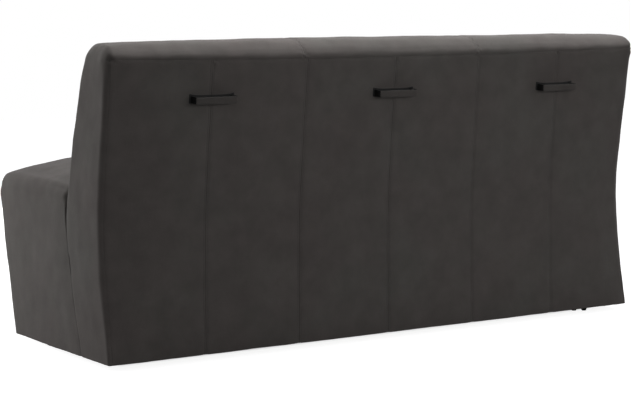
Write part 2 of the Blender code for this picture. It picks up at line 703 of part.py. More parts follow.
def housing_mesh():
    """Castor housing: web, arched hood over both wheels, axle, neck, collar and stem in one."""
    half_width = WHEEL_TRACK / 2 + WHEEL_WIDTH / 2
    hood_inner = WHEEL_RADIUS + HOUSING_CLEARANCE
    hood_outer = hood_inner + HOUSING_SHELL
    axle = (CASTOR_TRAIL, AXLE_Z)
    start, end = HOUSING_HOOD_ANGLE, 180 - HOUSING_HOOD_ANGLE
    arch = arc(axle, hood_outer, start, end, 8) + arc(axle, hood_inner, end, start, 8)
    start, end = HOUSING_WEB_ANGLE, 180 - HOUSING_WEB_ANGLE
    web = arc(axle, between(hood_inner, hood_outer, 0.5), start, end, 6)
    web += arc(axle, 3 * AXLE_RADIUS, 180 + start, 180 + end, 4)

    def slab(name, points, thickness):
        mesh = evaluated(outline_piece(name, points, thickness, BLACK_NYLON))
        mesh.transform(Matrix.Rotation(math.pi / 2, 4, "X"))
        return mesh

    body = bpy.data.objects.new("castor_body", slab("castor_body", arch, 2 * half_width))
    CUTTERS.objects.link(body)
    axle_bm = cylinder(AXLE_RADIUS, -half_width, half_width, 16)
    bmesh.ops.rotate(axle_bm, verts=axle_bm.verts, matrix=Matrix.Rotation(math.pi / 2, 3, "X"))
    bmesh.ops.translate(axle_bm, verts=axle_bm.verts, vec=(CASTOR_TRAIL, 0, AXLE_Z))
    neck_radius = (WHEEL_TRACK - WHEEL_WIDTH) / 2 - HOUSING_CLEARANCE
    collar_low = AXLE_Z + hood_outer + GAP
    neck_bm = cylinder(neck_radius, AXLE_Z + 3 * AXLE_RADIUS, collar_low + GAP, 16)
    collar_bm = cylinder(COLLAR_RADIUS, collar_low, FOOT_BOARD_Z - GAP, 16)
    stem_bm = cylinder(STEM_RADIUS, FOOT_BOARD_Z - 2 * GAP, FOOT_BOARD_Z + BOARD, 16)
    meshes = [slab("castor_web", web, HOUSING_WEB), mesh_from(axle_bm, "castor_axle"),
              mesh_from(neck_bm, "castor_neck"), mesh_from(collar_bm, "castor_collar"),
              mesh_from(stem_bm, "castor_stem")]
    tools = [bpy.data.objects.new(mesh.name, mesh) for mesh in meshes]
    for tool in tools:
        CUTTERS.objects.link(tool)
        boolean(body, "UNION", tool)
    bpy.context.view_layer.update()
    mesh = evaluated(body)
    for tool in tools:
        bpy.data.objects.remove(tool, do_unlink=True)
    return mesh


def wheel_mesh():
    """Castor wheel with a bore for the axle and chamfered rims."""
    bore = AXLE_RADIUS + AXLE_CLEARANCE
    half = WHEEL_WIDTH / 2
    shoulder = half - WHEEL_CHAMFER
    rim = WHEEL_RADIUS - WHEEL_CHAMFER
    profile = [(bore, half), (rim, half), (WHEEL_RADIUS, shoulder), (WHEEL_RADIUS, -shoulder),
               (rim, -half), (bore, -half)]
    return turned("castor_wheel", profile, WHEEL_SIDES, closed=True)


def build_castors(front_board, rear_board):
    """Four stem castors, each with a swivelling housing and two wheels on its axle."""
    housing = housing_mesh()
    wheel = wheel_mesh()
    front_y = SEAT_FRONT_FOOT + CASTOR_FRONT_INSET
    rear_y = REAR_FOOT[0] - CASTOR_REAR_INSET
    facet = math.pi / WHEEL_SIDES
    for row, y, foot_board in (("front", front_y, front_board), ("rear", rear_y, rear_board)):
        for side, name in side_names(f"{row}_castor"):
            x = side * (HALF - CASTOR_END_INSET)
            pivot = bpy.data.objects.new(f"{name}_pivot", None)
            pivot.parent = DATUM
            pivot.location = (x, y, 0)
            pivot.rotation_euler.z = math.radians(CASTOR_HEADINGS[name])
            SOFA.objects.link(pivot)
            add(f"{name}_housing", housing, BLACK_NYLON, parent=pivot)
            for place, wheel_name in ((-1, "wheel_a"), (1, "wheel_b")):
                add(f"{name}_{wheel_name}", wheel, BLACK_NYLON, parent=pivot,
                    location=(CASTOR_TRAIL, place * WHEEL_TRACK / 2, AXLE_Z),
                    rotation=(math.pi / 2, facet, 0))
            bore = cylinder(STEM_RADIUS + STEM_CLEARANCE, FOOT_BOARD_Z - BOARD,
                            FOOT_BOARD_Z + 2 * BOARD, 16)
            boolean(foot_board, "DIFFERENCE", cutter(f"{name}_bore", bore, location=(x, y, 0)))


def build_bolts(seat_board, joining_rail):
    """Bolts square to the leaning boards, from inside the seat box into the back."""
    tilt = math.atan(SEAT_REAR_LEAN) - math.pi / 2
    thickness = BOARD * math.cos(math.atan(SEAT_REAR_LEAN))
    head_face = -thickness - GAP
    tip = JOINING_RAIL + BOLT_HEAD
    profile = [(0.0, tip), (BOLT_RADIUS, tip), (BOLT_RADIUS, head_face), (BOLT_HEAD_RADIUS, head_face),
               (BOLT_HEAD_RADIUS, head_face - BOLT_HEAD), (0.0, head_face - BOLT_HEAD)]
    bolt = turned("joining_bolt", profile, 12, closed=False)
    for number, x in enumerate(BOLT_XS, start=1):
        spot = (x, seat_rear(BOLT_Z), BOLT_Z)
        add(f"joining_bolt_{number}", bolt, ZINC, location=spot, rotation=(tilt, 0, 0))
        bore = cylinder(BOLT_RADIUS + BOLT_CLEARANCE, -2 * BOARD, 2 * JOINING_RAIL, 12)
        tool = cutter(f"joining_bolt_{number}_bore", bore, location=spot, rotation=(tilt, 0, 0))
        boolean(seat_board, "DIFFERENCE", tool)
        boolean(joining_rail, "DIFFERENCE", tool)


def build_handles():
    """Bow handles over every second seam, with a thin cloth grip along the face of each bar."""
    half = HANDLE_LENGTH / 2
    reach = HANDLE_REACH - GRIP - GAP
    inner = half - HANDLE_POST
    throat = reach - HANDLE_BAR
    outer_round, inner_round = HANDLE_OUTER_ROUND, HANDLE_INNER_ROUND
    outline = [(half, GAP)] + arc((half - outer_round, reach - outer_round), outer_round, 0, 90, 4)
    outline += arc((outer_round - half, reach - outer_round), outer_round, 90, 180, 4) + [(-half, GAP)]
    outline += [(-inner, GAP)] + arc((inner_round - inner, throat - inner_round), inner_round, 180, 90, 3)
    outline += arc((inner - inner_round, throat - inner_round), inner_round, 90, 0, 3) + [(inner, GAP)]
    for number, x in enumerate(HANDLE_XS, start=1):
        spot = (x, HANDLE_SEAT_Y, HANDLE_Z)
        name = f"handle_{number}_bracket"
        bracket = outline_piece(name, outline, HANDLE_HEIGHT, BLACK_METAL, HANDLE_EDGE)
        bracket.location = spot
        bracket.rotation_euler = (HANDLE_TILT, 0, 0)
        grip_half = half - outer_round
        bm = sliced_box((-grip_half, grip_half), (reach + GAP, HANDLE_REACH),
                        (-HANDLE_HEIGHT / 2, HANDLE_HEIGHT / 2))
        grip = add(f"handle_{number}_grip", mesh_from(bm, "handle_grip"), CLOTH, location=spot,
                   rotation=(HANDLE_TILT, 0, 0))
        round_edges(grip, GRIP_ROUNDING)


def build_sofa():
    build_hood()
    build_back_panel()
    joining_rail = build_back_frame()
    seat_board, inside, behind_front = build_seat_box()
    build_seat_springs()
    build_seat_upholstery()
    front_board, rear_board = build_foot_boards(inside, behind_front)
    build_castors(front_board, rear_board)
    build_bolts(seat_board, joining_rail)
    build_handles()


build_sofa()
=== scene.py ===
import json
import math

import bpy
import numpy as np
from mathutils import Matrix, Vector
from mathutils.bvhtree import BVHTree
from mathutils.interpolate import poly_3d_calc


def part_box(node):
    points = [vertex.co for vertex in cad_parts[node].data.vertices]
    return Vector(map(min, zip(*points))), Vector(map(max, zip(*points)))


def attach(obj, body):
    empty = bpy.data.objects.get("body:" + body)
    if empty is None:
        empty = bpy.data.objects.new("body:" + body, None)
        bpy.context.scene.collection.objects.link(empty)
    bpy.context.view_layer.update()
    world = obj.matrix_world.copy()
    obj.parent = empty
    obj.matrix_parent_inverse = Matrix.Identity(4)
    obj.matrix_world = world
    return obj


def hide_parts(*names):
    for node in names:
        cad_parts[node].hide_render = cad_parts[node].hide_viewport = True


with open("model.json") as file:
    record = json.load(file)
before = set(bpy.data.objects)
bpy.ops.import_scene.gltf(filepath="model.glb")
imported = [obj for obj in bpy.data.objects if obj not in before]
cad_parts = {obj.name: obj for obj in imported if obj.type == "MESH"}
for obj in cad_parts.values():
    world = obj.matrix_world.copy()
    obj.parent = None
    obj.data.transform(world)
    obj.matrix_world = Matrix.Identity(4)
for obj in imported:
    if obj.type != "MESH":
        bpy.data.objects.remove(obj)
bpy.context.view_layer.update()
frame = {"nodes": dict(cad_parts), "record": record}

NODES = frame["nodes"]
ROLLS = [joint for joint in frame["record"]["behaviour"]["joints"] if joint["name"].endswith("_roll")]

# Outline that the covers share with the frame, in metres; y in this list is from the rear hem
HALF = 0.950
HEIGHT = 0.909
HEM = 0.022
SEAM_Z = 0.861
REAR_FOOT = (0.0, HEM)
REAR_WAIST = (-0.0445, 0.392)
REAR_TOP = (0.0135, SEAM_Z)
REAR_SOFTNESS = 0.08
FRONT_FOOT = (-0.158, HEM)
FRONT_WAIST = (-0.244, 0.420)
FRONT_TOP = (-0.1405, 0.838)
FRONT_SOFTNESS = 0.15
SEAT_FRONT_FOOT = -0.600
SEAT_LEAN = 0.233
SEAT_EDGE = 0.504
CUSHION_Z = 0.428
CUSHION = 0.076
FRAME_GAP = 0.0003
STRIP = 2 * HALF / 6
SEAMS = [STRIP * place for place in (-2, -1, 0, 1, 2)]
SECTION_SEAMS = (-STRIP, STRIP)
DIGITS = 6

# Covers: how far they stand off that outline, how they turn under at the hem, and their grids' cells
COVER_OUT = 0.004
COVER_WALL = 0.004
COVER_END = HALF + 0.0035
COVER_HEM = HEM - 0.0015
HEM_ROUND = 0.003
HEM_TURN = 0.016
HEM_BLEND = 0.15
CELL_X, CELL_D, CELL_Z = 0.018, 0.030, 0.014
SOFT_STEPS = 7
CLOSEST = 0.0005

# Form of the back cover; pairs of radii are for the start and end of a stretch, and D is a share of depth
LIP_X = HALF - 0.009
HOOD_OPENING_Z = 0.330
BEHIND_SEAT_Z = 0.40
ABOVE_SEAT_Z = 0.52
TOP_SEAM_SAG = 0.009
SAG_BELOW = 0.16
SAG_ABOVE = 0.044
TOP_CROWN = 0.005
TOP_FALL = 0.014
RIDGE = 0.25
RIDGE_FRONT_FALL = 0.6
CORNER_PUFF = 0.005
PUFF_RISE = 0.012
PUFF_REACH = 0.045
BACK_CROWN = 0.008
TURN_ACROSS = 0.028
TURN_DEEP = 0.017
TOP_BLEND_Z = (0.79, 0.89)
END_BLEND_BELOW = 0.04
END_BLEND_ABOVE = 0.035
SIDE_BLEND = 0.05
REAR_EDGE_RADII = (0.006, TURN_ACROSS)
FRONT_EDGE_RADII = (0.003, 0.022)
REAR_EDGE_AT_TOP = 0.025
FRONT_EDGE_AT_TOP = 0.030
FRONT_RADII = (0.003, 0.016)
FRONT_AT_TOP = 0.034
REAR_RADII = (0.005, TURN_DEEP)
BAND_RADII = (0.060, 0.044)
TOP_RADII = (0.042, 0.056)
TOP_RADII_D = (0.3, 0.7)

# Form of the outer back panel
PANEL_HALF = COVER_END - 0.0129
PANEL_TOP = SEAM_Z - 0.0004
PANEL_BRIDGE = 0.40
PANEL_OUT = 0.0025
PANEL_END_OUT = 0.002
PANEL_HEM_ROUND = 0.004
PANEL_CELL_X, PANEL_CELL_Z = 0.020, 0.010
LEAN = 0.011
LEAN_MIDDLE = 0.46
LEAN_SPAN = 0.42

# Form of the seat cover
SEAT_CROWN = 0.042
CROWN_SPAN = 0.320
SEAT_EDGE_FALL = 0.010
SEAT_SETTLE = 0.005
SEAT_BEHIND = 0.0043
CUSHION_BEHIND = 0.010
CUSHION_BLEND_Z = (0.34, 0.43)
SEAT_TOP_BLEND_Z = (0.435, 0.475)
SEAT_REAR_FLANGE = 0.03
SEAT_FRONT_FLANGE = 0.035
SEAT_END_TAPER = 0.002
SEAT_TAPER_D = (0.86, 1.0)
SEAT_REAR_EDGE = 0.001
SEAT_FRONT_EDGE = 0.006
SEAT_EDGE_AT_TOP = 0.025
SEAT_FRONT_RADII = (0.008, 0.034)
SEAT_REAR_RADII = (0.001, 0.020)
SEAT_TOP_RADII = (0.034, 0.042)
SEAT_TOP_RADII_D = (0.05, 0.30)
SEAT_FOLD_INSET = 0.003
SEAT_FOLD_Z = 0.49
SEAT_FOLD_START = (0.004, 0.487)
SEAT_FOLD_END = (0.20, 0.503)

# Handles
HANDLE_INSET = 0.009
HANDLE_XS = (HANDLE_INSET - 2 * STRIP, 0.0, 2 * STRIP - HANDLE_INSET)
HANDLE_Z = 0.746
HANDLE_LENGTH = 0.136
HANDLE_HEIGHT = 0.020
HANDLE_MARGIN = 0.012
HANDLE_QUIET = 0.035
GRIP_HALF = 0.066
GRIP_SEAT = 0.0298
GRIP_FACE = 0.032
GRIP_TOP = HANDLE_HEIGHT / 2 - 0.0015
GRIP_BOTTOM = -HANDLE_HEIGHT / 2 - 0.0010
GRIP_FILL = 0.0008
GRIP_ROW_INSET = 0.0026
GRIP_ROW_END = 0.005
# Black plate behind each handle and a little larger than it: painted shadow round the handle
SHADOW_PLATE_HALF = HANDLE_LENGTH / 2 + 0.005
SHADOW_PLATE_BACK = 0.0002
SHADOW_PLATE_FACE = 0.0022
SHADOW_PLATE_TOP = HANDLE_HEIGHT / 2 + 0.0065
SHADOW_PLATE_BOTTOM = -HANDLE_HEIGHT / 2 - 0.001
SHADOW_PLATE_DIP = 0.005

# Inner pieces and wheels
FOAM = 0.045
FOAM_FRONT = 0.015
STRAP = 0.0015
STRAP_HEIGHT = 0.060
STRAP_FRONT = 0.063
STRAP_LOWS = (0.470, 0.590, 0.710)
STRAP_RIB = 0.00015
STRAP_RIB_PITCH = 0.006
LINING_HANG = 0.0045
LINING_WAVE = 0.0008
STAPLE_HALF = 0.005
STAPLE_INSET = 0.008
STAPLE_PITCH = 0.075
STAPLE_WIRE = 0.0012
WHEEL_TREAD = 0.01735
WHEEL_BORE = 0.0034
WHEEL_HALF = 0.007
WHEEL_SIDES = 48

# Sewing; each dent or fold is (depth, width)
TWIN = 0.0055
STITCH = 0.0075
STITCH_GAP = 0.12
STITCH_START = 0.004
STITCH_FACING = 0.68
THREAD_WIDTH = 0.0009
BACK_ROWS_LOW = 0.50
TOP_ROWS_Y = (-0.16, 0.02)
SEAT_ROWS_HIGH = 0.54
SEAT_ROWS_Y = (-0.70, -0.25)
SEAM_STEPS = (0, 0.0008, 0.0018, 0.003, 0.0042, 0.0055, 0.0068, 0.0085, 0.0115, 0.016, 0.023)
SEAM_DISH = (0.0010, 0.010)
SEAM_ROW = (0.0008, 0.0012)
SEAM_CREASE = (0.0020, 0.0010)
SECTION_DIP = (0.004, 0.06)
BAND_DENT = 0.0005
SIDE_DENT = 0.0003
LIP_DENT_WIDTH = 0.004
BAND_DENT_REACH = 0.02
PANEL_TOP_DENT = (0.0006, 0.005)
PANEL_SIDE_DENT = (0.0003, 0.005)
PANEL_CORNER_DENT = (0.006, 0.008)
BAND_CORNER_DENT = (0.005, 0.007)
CORNER_FOLD = (0.0035, 0.005)
CORNER_FOLD_INSET = 0.010
CORNER_FOLD_RUN = 0.045
SEAT_FOLD = (0.0035, 0.008)
FOLD_FADE = 0.8
GRIP_ROW = (0.0006, 0.0009)
BACK_SEAM_AT_TOP = 0.55
BACK_FADE_Z = (0.80, SEAM_Z)
PANEL_SEAM_AT_TOP = 0.6
PANEL_FADE_Z = (0.66, 0.82)
PUCKER = 0.0005
PANEL_TOP_PUCKER = 0.0006
PANEL_SIDE_PUCKER = 0.0002
PUCKER_REACH = 0.016
HEM_RIPPLE = (0.0003, 0.020)

# Uneven filling, and the swelling that is simulated as cloth with its limits
BACK_UNEVEN = 0.0012
PANEL_UNEVEN = 0.0011
SEAT_UNEVEN = 0.0014
SMALL_UNEVEN = 0.0003
HEM_UNEVEN_SHARE = 0.25
HEM_UNEVEN_Z = 0.09
CLOTH_STEP = 0.016
BACK_CLOTH_D = 0.08
SEAT_CLOTH_D = 0.04
CLOTH_MASS = 0.25
CLOTH_PRESSURE = 4.0
CLOTH_FRAMES = 20
SEWN_REACH = 0.6 * CLOTH_STEP
BACK_SWELL = 0.0040
BACK_SWELL_AT_TOP = 0.0012
PANEL_SWELL = 0.0025
SEAT_SWELL = 0.0050
SEAT_SWELL_AT_END = 0.0005

# Studio
LENS = 108.55
CAMERA_PLACE = (3.3166, 4.601665, 1.0564)
CAMERA_TILT = 83.616
CAMERA_TURN = 146.493
FLOOR_REACH = 9.0
FLOOR_TONE = 0.54
# Half sizes of the patch under the sofa with no camera glow; the glow rises over a few centimetres round it,
# a painted shade near the footprint
FLOOR_SHADED = (0.86, 0.222, 0)
SURROUNDINGS = 0.13


def ramp(value, low, high):
    """0 below low, 1 above high, and smooth between."""
    t = np.clip((value - low) / (high - low), 0, 1)
    return t * t * (3 - 2 * t)


def lerp(first, second, share):
    return first + (second - first) * share


def bent_line(low, waist, high, softness):
    """Line through three (y, z) points, straight below and above a rounded waist."""

    def bend_at(z):
        return np.hypot(z - waist[1], softness) - softness

    rises = np.array([[low[1] - waist[1], bend_at(low[1])], [high[1] - waist[1], bend_at(high[1])]])
    tilt, bend = np.linalg.solve(rises, [low[0] - waist[0], high[0] - waist[0]])
    return lambda z: waist[0] + tilt * (z - waist[1]) + bend * bend_at(z)


def straight_line(low, high):
    """Line through two (y, z) points."""
    slope = (high[0] - low[0]) / (high[1] - low[1])
    return lambda z: low[0] + slope * (z - low[1])


rear_line = bent_line(REAR_FOOT, REAR_WAIST, REAR_TOP, REAR_SOFTNESS)
chord_line = straight_line(REAR_FOOT, REAR_TOP)
seat_line = straight_line((SEAT_FRONT_FOOT, HEM), (SEAT_FRONT_FOOT - SEAT_LEAN, HEM + 1.0))


def handle_line(z):
    """Face of the outer back where the handles sit."""
    return lerp(chord_line(z), rear_line(z), PANEL_BRIDGE) + PANEL_OUT


HANDLE_LOW, HANDLE_HIGH = HANDLE_Z - HANDLE_HEIGHT / 2, HANDLE_Z + HANDLE_HEIGHT / 2
HANDLE_SLOPE = (handle_line(HANDLE_HIGH) - handle_line(HANDLE_LOW)) / HANDLE_HEIGHT
HANDLE_TILT = round(-math.atan(HANDLE_SLOPE), DIGITS)

# The frame's origin lies under the middle of the sofa, from its cushion to its handles
HANDLE_OUT = GRIP_FACE * math.cos(HANDLE_TILT) - HANDLE_HEIGHT / 2 * math.sin(HANDLE_TILT)
CUSHION_FRONT = seat_line(CUSHION_Z + CUSHION / 4)
REAR_HEM_Y = round(-(handle_line(HANDLE_Z) + HANDLE_OUT + CUSHION_FRONT) / 2, DIGITS)
HANDLE_SEAT_Y = round(REAR_HEM_Y + handle_line(HANDLE_Z), DIGITS)


def from_origin(line):
    return lambda z: REAR_HEM_Y + line(z)


front_of_back = from_origin(bent_line(FRONT_FOOT, FRONT_WAIST, FRONT_TOP, FRONT_SOFTNESS))
rear_at_end = from_origin(rear_line)
rear_chord = from_origin(chord_line)
seat_front = from_origin(seat_line)


def bell(distance, width):
    return np.exp(-(distance / width) ** 2)


def dent(distance, depth, width):
    return depth * bell(distance, width)


def nearest(x, lines):
    """Distance of each place from the nearest of some lines."""
    return np.min([abs(x - line) for line in lines], axis=0)


def near_end(x, start, stop):
    """0 until a distance from the sofa's ends, and 1 from a shorter one on."""
    return ramp(abs(x), HALF - start, HALF - stop)


WAVES = np.random.RandomState(7)


def make_swell(count, shortest, longest):
    """Smooth uneven field over space, from about -1 to 1, made of crossing waves."""
    lengths = np.exp(WAVES.uniform(math.log(shortest), math.log(longest), count))
    headings = WAVES.normal(size=(count, 3))
    headings *= (2 * math.pi / lengths / np.linalg.norm(headings, axis=1))[:, None]
    phases = WAVES.uniform(0, 2 * math.pi, count)
    return lambda points: np.sin(points @ headings.T + phases).sum(axis=1) / math.sqrt(count)


broad_swell = make_swell(count=14, shortest=0.12, longest=0.40)
small_swell = make_swell(count=18, shortest=0.030, longest=0.090)
pucker_swell = make_swell(count=22, shortest=0.009, longest=0.022)


# Grids and meshes
def knots(low, high, step, lines=(), soft_low=0.0, soft_high=0.0):
    """Places from low to high about a step apart, closer round each line and in the soft ends."""
    marks = {low, high}
    for line in lines:
        for offset in SEAM_STEPS:
            marks |= {line - offset, line + offset}
    for share in range(1, SOFT_STEPS + 1):
        marks |= {low + soft_low * share / SOFT_STEPS, high - soft_high * share / SOFT_STEPS}
    ordered = sorted(mark for mark in marks if low <= mark <= high)
    closest = min(CLOSEST, (high - low) / (SOFT_STEPS + 1))
    kept = [low]
    for mark in ordered:
        if mark - kept[-1] > closest:
            kept.append(mark)
    kept[-1] = high
    places = []
    for start, end in zip(kept, kept[1:]):
        count = max(1, math.ceil((end - start) / step))
        places += [start + (end - start) * index / count for index in range(count)]
    return np.array(places + [high])


def box_cells(xs, ds, zs, keep):
    """Corner places (x, d, z) and quads of the cells on a box's six sides that a rule keeps."""
    counts = (len(xs), len(ds), len(zs))

    def places_of(codes):
        indices = np.unravel_index(codes, counts)
        return np.stack([cuts[index] for cuts, index in zip((xs, ds, zs), indices)], axis=-1)

    chosen = []
    for axis in range(3):
        first, second = (axis + 1) % 3, (axis + 2) % 3
        grid = np.meshgrid(np.arange(counts[first] - 1), np.arange(counts[second] - 1), indexing="ij")
        rows, columns = grid[0].ravel(), grid[1].ravel()
        for side in (0, 1):
            index = [None] * 3
            index[axis] = np.full(rows.shape, side * (counts[axis] - 1))
            corners = []
            for step_one, step_two in ((0, 0), (1, 0), (1, 1), (0, 1)):
                index[first], index[second] = rows + step_one, columns + step_two
                corners.append(np.ravel_multi_index(tuple(index), counts))
            quads = np.stack(corners if side else corners[::-1], axis=1)
            middles = places_of(quads).mean(axis=1)
            chosen.append(quads[keep(axis, side, *middles.T)])
    used, flat = np.unique(np.concatenate(chosen), return_inverse=True)
    return places_of(used), flat.reshape(-1, 4)


def soft_gaps(gaps, radii):
    """Distances from a box's faces, moved so that its edges and corners are elliptical rounds."""
    shares = [np.clip(1 - gap / radius, 0, 1) for gap, radius in zip(gaps, radii)]
    length = np.maximum(np.sqrt(sum(share ** 2 for share in shares)), 1)
    return [np.where(share > 0, radius * (1 - share / length), gap)
            for gap, radius, share in zip(gaps, radii, shares)]


def soft_box(places, box, radii):
    """Points of a rounded box: ends, front line, rear line, top and bottom."""
    x, d, z = places.T
    half, front, rear, top, low = box
    depth = rear(z) - front(z)
    gaps = [half - abs(x), d * depth, (1 - d) * depth, top - z, z - low]
    end, ahead, behind, above, below = soft_gaps(gaps, radii)
    z = np.where(top - z < z - low, top - above, low + below)
    y = np.where(d < 0.5, front(z) + ahead, rear(z) - behind)
    return np.stack([np.sign(x) * (half - end), y, z], axis=1)


def soft_slab(low, high, steps, radii):
    """Points and quads of a closed slab with rounded edges between two corners."""
    cuts = [knots(first, last, step, (), radius, radius)
            for first, last, step, radius in zip(low, high, steps, radii)]
    places, faces = box_cells(*cuts, lambda axis, side, x, y, z: np.ones(x.shape, bool))
    gaps = [gap for axis in range(3) for gap in (places[:, axis] - low[axis], high[axis] - places[:, axis])]
    soft = soft_gaps(gaps, [radius for radius in radii for side in (0, 1)])
    for axis in range(3):
        nearer_low = gaps[2 * axis] < gaps[2 * axis + 1]
        places[:, axis] = np.where(nearer_low, low[axis] + soft[2 * axis], high[axis] - soft[2 * axis + 1])
    return places, faces


def normals_of(points, faces):
    """Unit normal of each corner of a quad mesh."""
    diagonal_one = points[faces[:, 2]] - points[faces[:, 0]]
    diagonal_two = points[faces[:, 3]] - points[faces[:, 1]]
    across = np.cross(diagonal_one, diagonal_two)
    result = np.zeros_like(points)
    for corner in range(4):
        np.add.at(result, faces[:, corner], across)
    return result / np.maximum(np.linalg.norm(result, axis=1), 1e-12)[:, None]


def rim_of(faces, count):
    """Edges of a quad mesh that belong to a single face."""
    edges = np.concatenate([faces[:, [corner, (corner + 1) % 4]] for corner in range(4)])
    codes = edges[:, 0] * count + edges[:, 1]
    return edges[~np.isin(codes, edges[:, 1] * count + edges[:, 0])]


def mesh_of(name, points, faces):
    mesh = bpy.data.meshes.new(name)
    mesh.from_pydata(points.tolist(), [], [list(face) for face in faces])
    mesh.shade_smooth()
    return mesh


def closed_mesh(name, outer, inner, faces):
    """Closed body between an open outer layer and its inner copy, with the rim filled."""
    count = len(outer)
    rim = rim_of(faces, count)
    walls = np.stack([rim[:, 1], rim[:, 0], rim[:, 0] + count, rim[:, 1] + count], axis=1)
    everything = np.concatenate([faces, faces[:, ::-1] + count, walls])
    return mesh_of(name, np.concatenate([outer, inner]), everything.tolist())


def new_object(name, data):
    item = bpy.data.objects.new(name, data)
    bpy.context.scene.collection.objects.link(item)
    return item


def add(name, mesh, material, body="sofa", nodes=()):
    """A piece that rides on a body, takes a slot's finish and stands for some nodes of the frame."""
    piece = new_object(name, mesh)
    mesh.materials.append(material)
    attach(piece, body)
    if nodes:
        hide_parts(*nodes)
    return piece


# Materials
def new_material(name):
    material = bpy.data.materials.new(name)
    material.use_nodes = True
    tree = material.node_tree
    return material, tree, tree.nodes["Principled BSDF"]


def set_inputs(node, values):
    for name, value in values.items():
        node.inputs[name].default_value = value


def noise_node(tree, scale, detail, stretch=None):
    """Noise over the object's own coordinates, which may be stretched."""
    texture = tree.nodes.new("ShaderNodeTexNoise")
    set_inputs(texture, {"Scale": scale, "Detail": detail})
    source = tree.nodes.new("ShaderNodeTexCoord").outputs["Object"]
    if stretch:
        mapping = tree.nodes.new("ShaderNodeMapping")
        set_inputs(mapping, {"Scale": stretch})
        tree.links.new(source, mapping.inputs["Vector"])
        source = mapping.outputs["Vector"]
    tree.links.new(source, texture.inputs["Vector"])
    return texture.outputs["Fac"]


def ramp_node(tree, source, stops):
    """Colours read off a ramp of (place, colour) stops."""
    node = tree.nodes.new("ShaderNodeValToRGB")
    tree.links.new(source, node.inputs["Fac"])
    elements = node.color_ramp.elements
    while len(elements) < len(stops):
        elements.new(0.5)
    for element, (place, colour) in zip(elements, stops):
        element.position = place
        element.color = (*colour, 1.0)
    return node.outputs["Color"]


def product_node(tree, first, second):
    """One colour multiplied by another."""
    node = tree.nodes.new("ShaderNodeMix")
    node.data_type = "RGBA"
    node.blend_type = "MULTIPLY"
    set_inputs(node, {"Factor": 1.0})
    tree.links.new(first, node.inputs["A"])
    tree.links.new(second, node.inputs["B"])
    return node.outputs["Result"]


def math_node(tree, operation, first, second):
    node = tree.nodes.new("ShaderNodeMath")
    node.operation = operation
    tree.links.new(first, node.inputs[0])
    tree.links.new(second, node.inputs[1])
    return node.outputs[0]


def bump_node(tree, heights):
    """Bumps laid one over another, each as (height, distance in metres, strength)."""
    normal = None
    for height, distance, strength in heights:
        node = tree.nodes.new("ShaderNodeBump")
        set_inputs(node, {"Distance": distance, "Strength": strength})
        tree.links.new(height, node.inputs["Height"])
        if normal:
            tree.links.new(normal, node.inputs["Normal"])
        normal = node.outputs["Normal"]
    return normal


def grey(value):
    return (value, value, value)


def brushed_cloth(name, painted_shade_scale):
    """Anthracite microfibre: cloudy patches, a fine nap and a soft sheen; a scale below 1 darkens it all as
    painted shade.
    """
    material, tree, shader = new_material(name)
    clouds = noise_node(tree, scale=5.0, detail=4.0)
    colour = ramp_node(tree, clouds, [(0.30, (0.105, 0.093, 0.089)), (0.50, (0.107, 0.097, 0.092)),
                                      (0.70, (0.107, 0.100, 0.094))])
    # Random cloudy patches, times a scale that darkens the whole cloth as painted shade when it is below 1
    patches_and_shade = ramp_node(tree, noise_node(tree, scale=17.0, detail=4.0),
                        [(0.30, grey(0.90 * painted_shade_scale)), (0.70, grey(1.08 * painted_shade_scale))])
    colour = product_node(tree, colour, patches_and_shade)
    nap = noise_node(tree, scale=1150.0, detail=3.0)
    speckle = ramp_node(tree, nap, [(0.25, grey(0.84)), (0.75, grey(1.16))])
    colour = product_node(tree, colour, speckle)
    tree.links.new(colour, shader.inputs["Base Color"])
    set_inputs(shader, {"Roughness": 0.94, "Specular IOR Level": 0.12,
                        "Sheen Weight": 0.12, "Sheen Roughness": 0.45})
    brushing = noise_node(tree, scale=160.0, detail=3.0, stretch=(1.0, 1.0, 0.35))
    normal = bump_node(tree, [(nap, 0.0006, 0.55), (brushing, 0.0012, 0.25)])
    tree.links.new(normal, shader.inputs["Normal"])
    return material


def plain(name, low, high, roughness, scale, bump, metallic=0.0, specular=0.5, detail=4.0, stretch=None):
    """Finish between two tones, with a fine grain and its bump in metres."""
    material, tree, shader = new_material(name)
    grain = noise_node(tree, scale, detail, stretch)
    tree.links.new(ramp_node(tree, grain, [(0.3, low), (0.7, high)]), shader.inputs["Base Color"])
    set_inputs(shader, {"Roughness": roughness, "Metallic": metallic, "Specular IOR Level": specular})
    tree.links.new(bump_node(tree, [(grain, bump, 0.5)]), shader.inputs["Normal"])
    return material


CLOTH = brushed_cloth("brushed_cloth", painted_shade_scale=1.0)
# Darker copy of the same cloth for the grips: painted shade on the handles' fronts
SHADED_GRIP_CLOTH = brushed_cloth("brushed_cloth_grip_shaded", painted_shade_scale=0.75)
THREAD = plain("stitching_thread", grey(0.020), (0.046, 0.043, 0.041), 0.70, 900.0, 0.0002, detail=2.0)
BLACK_METAL = plain("black_powder_coat", grey(0.002), grey(0.004), 0.70, 1800.0, 0.0002, specular=0.12)
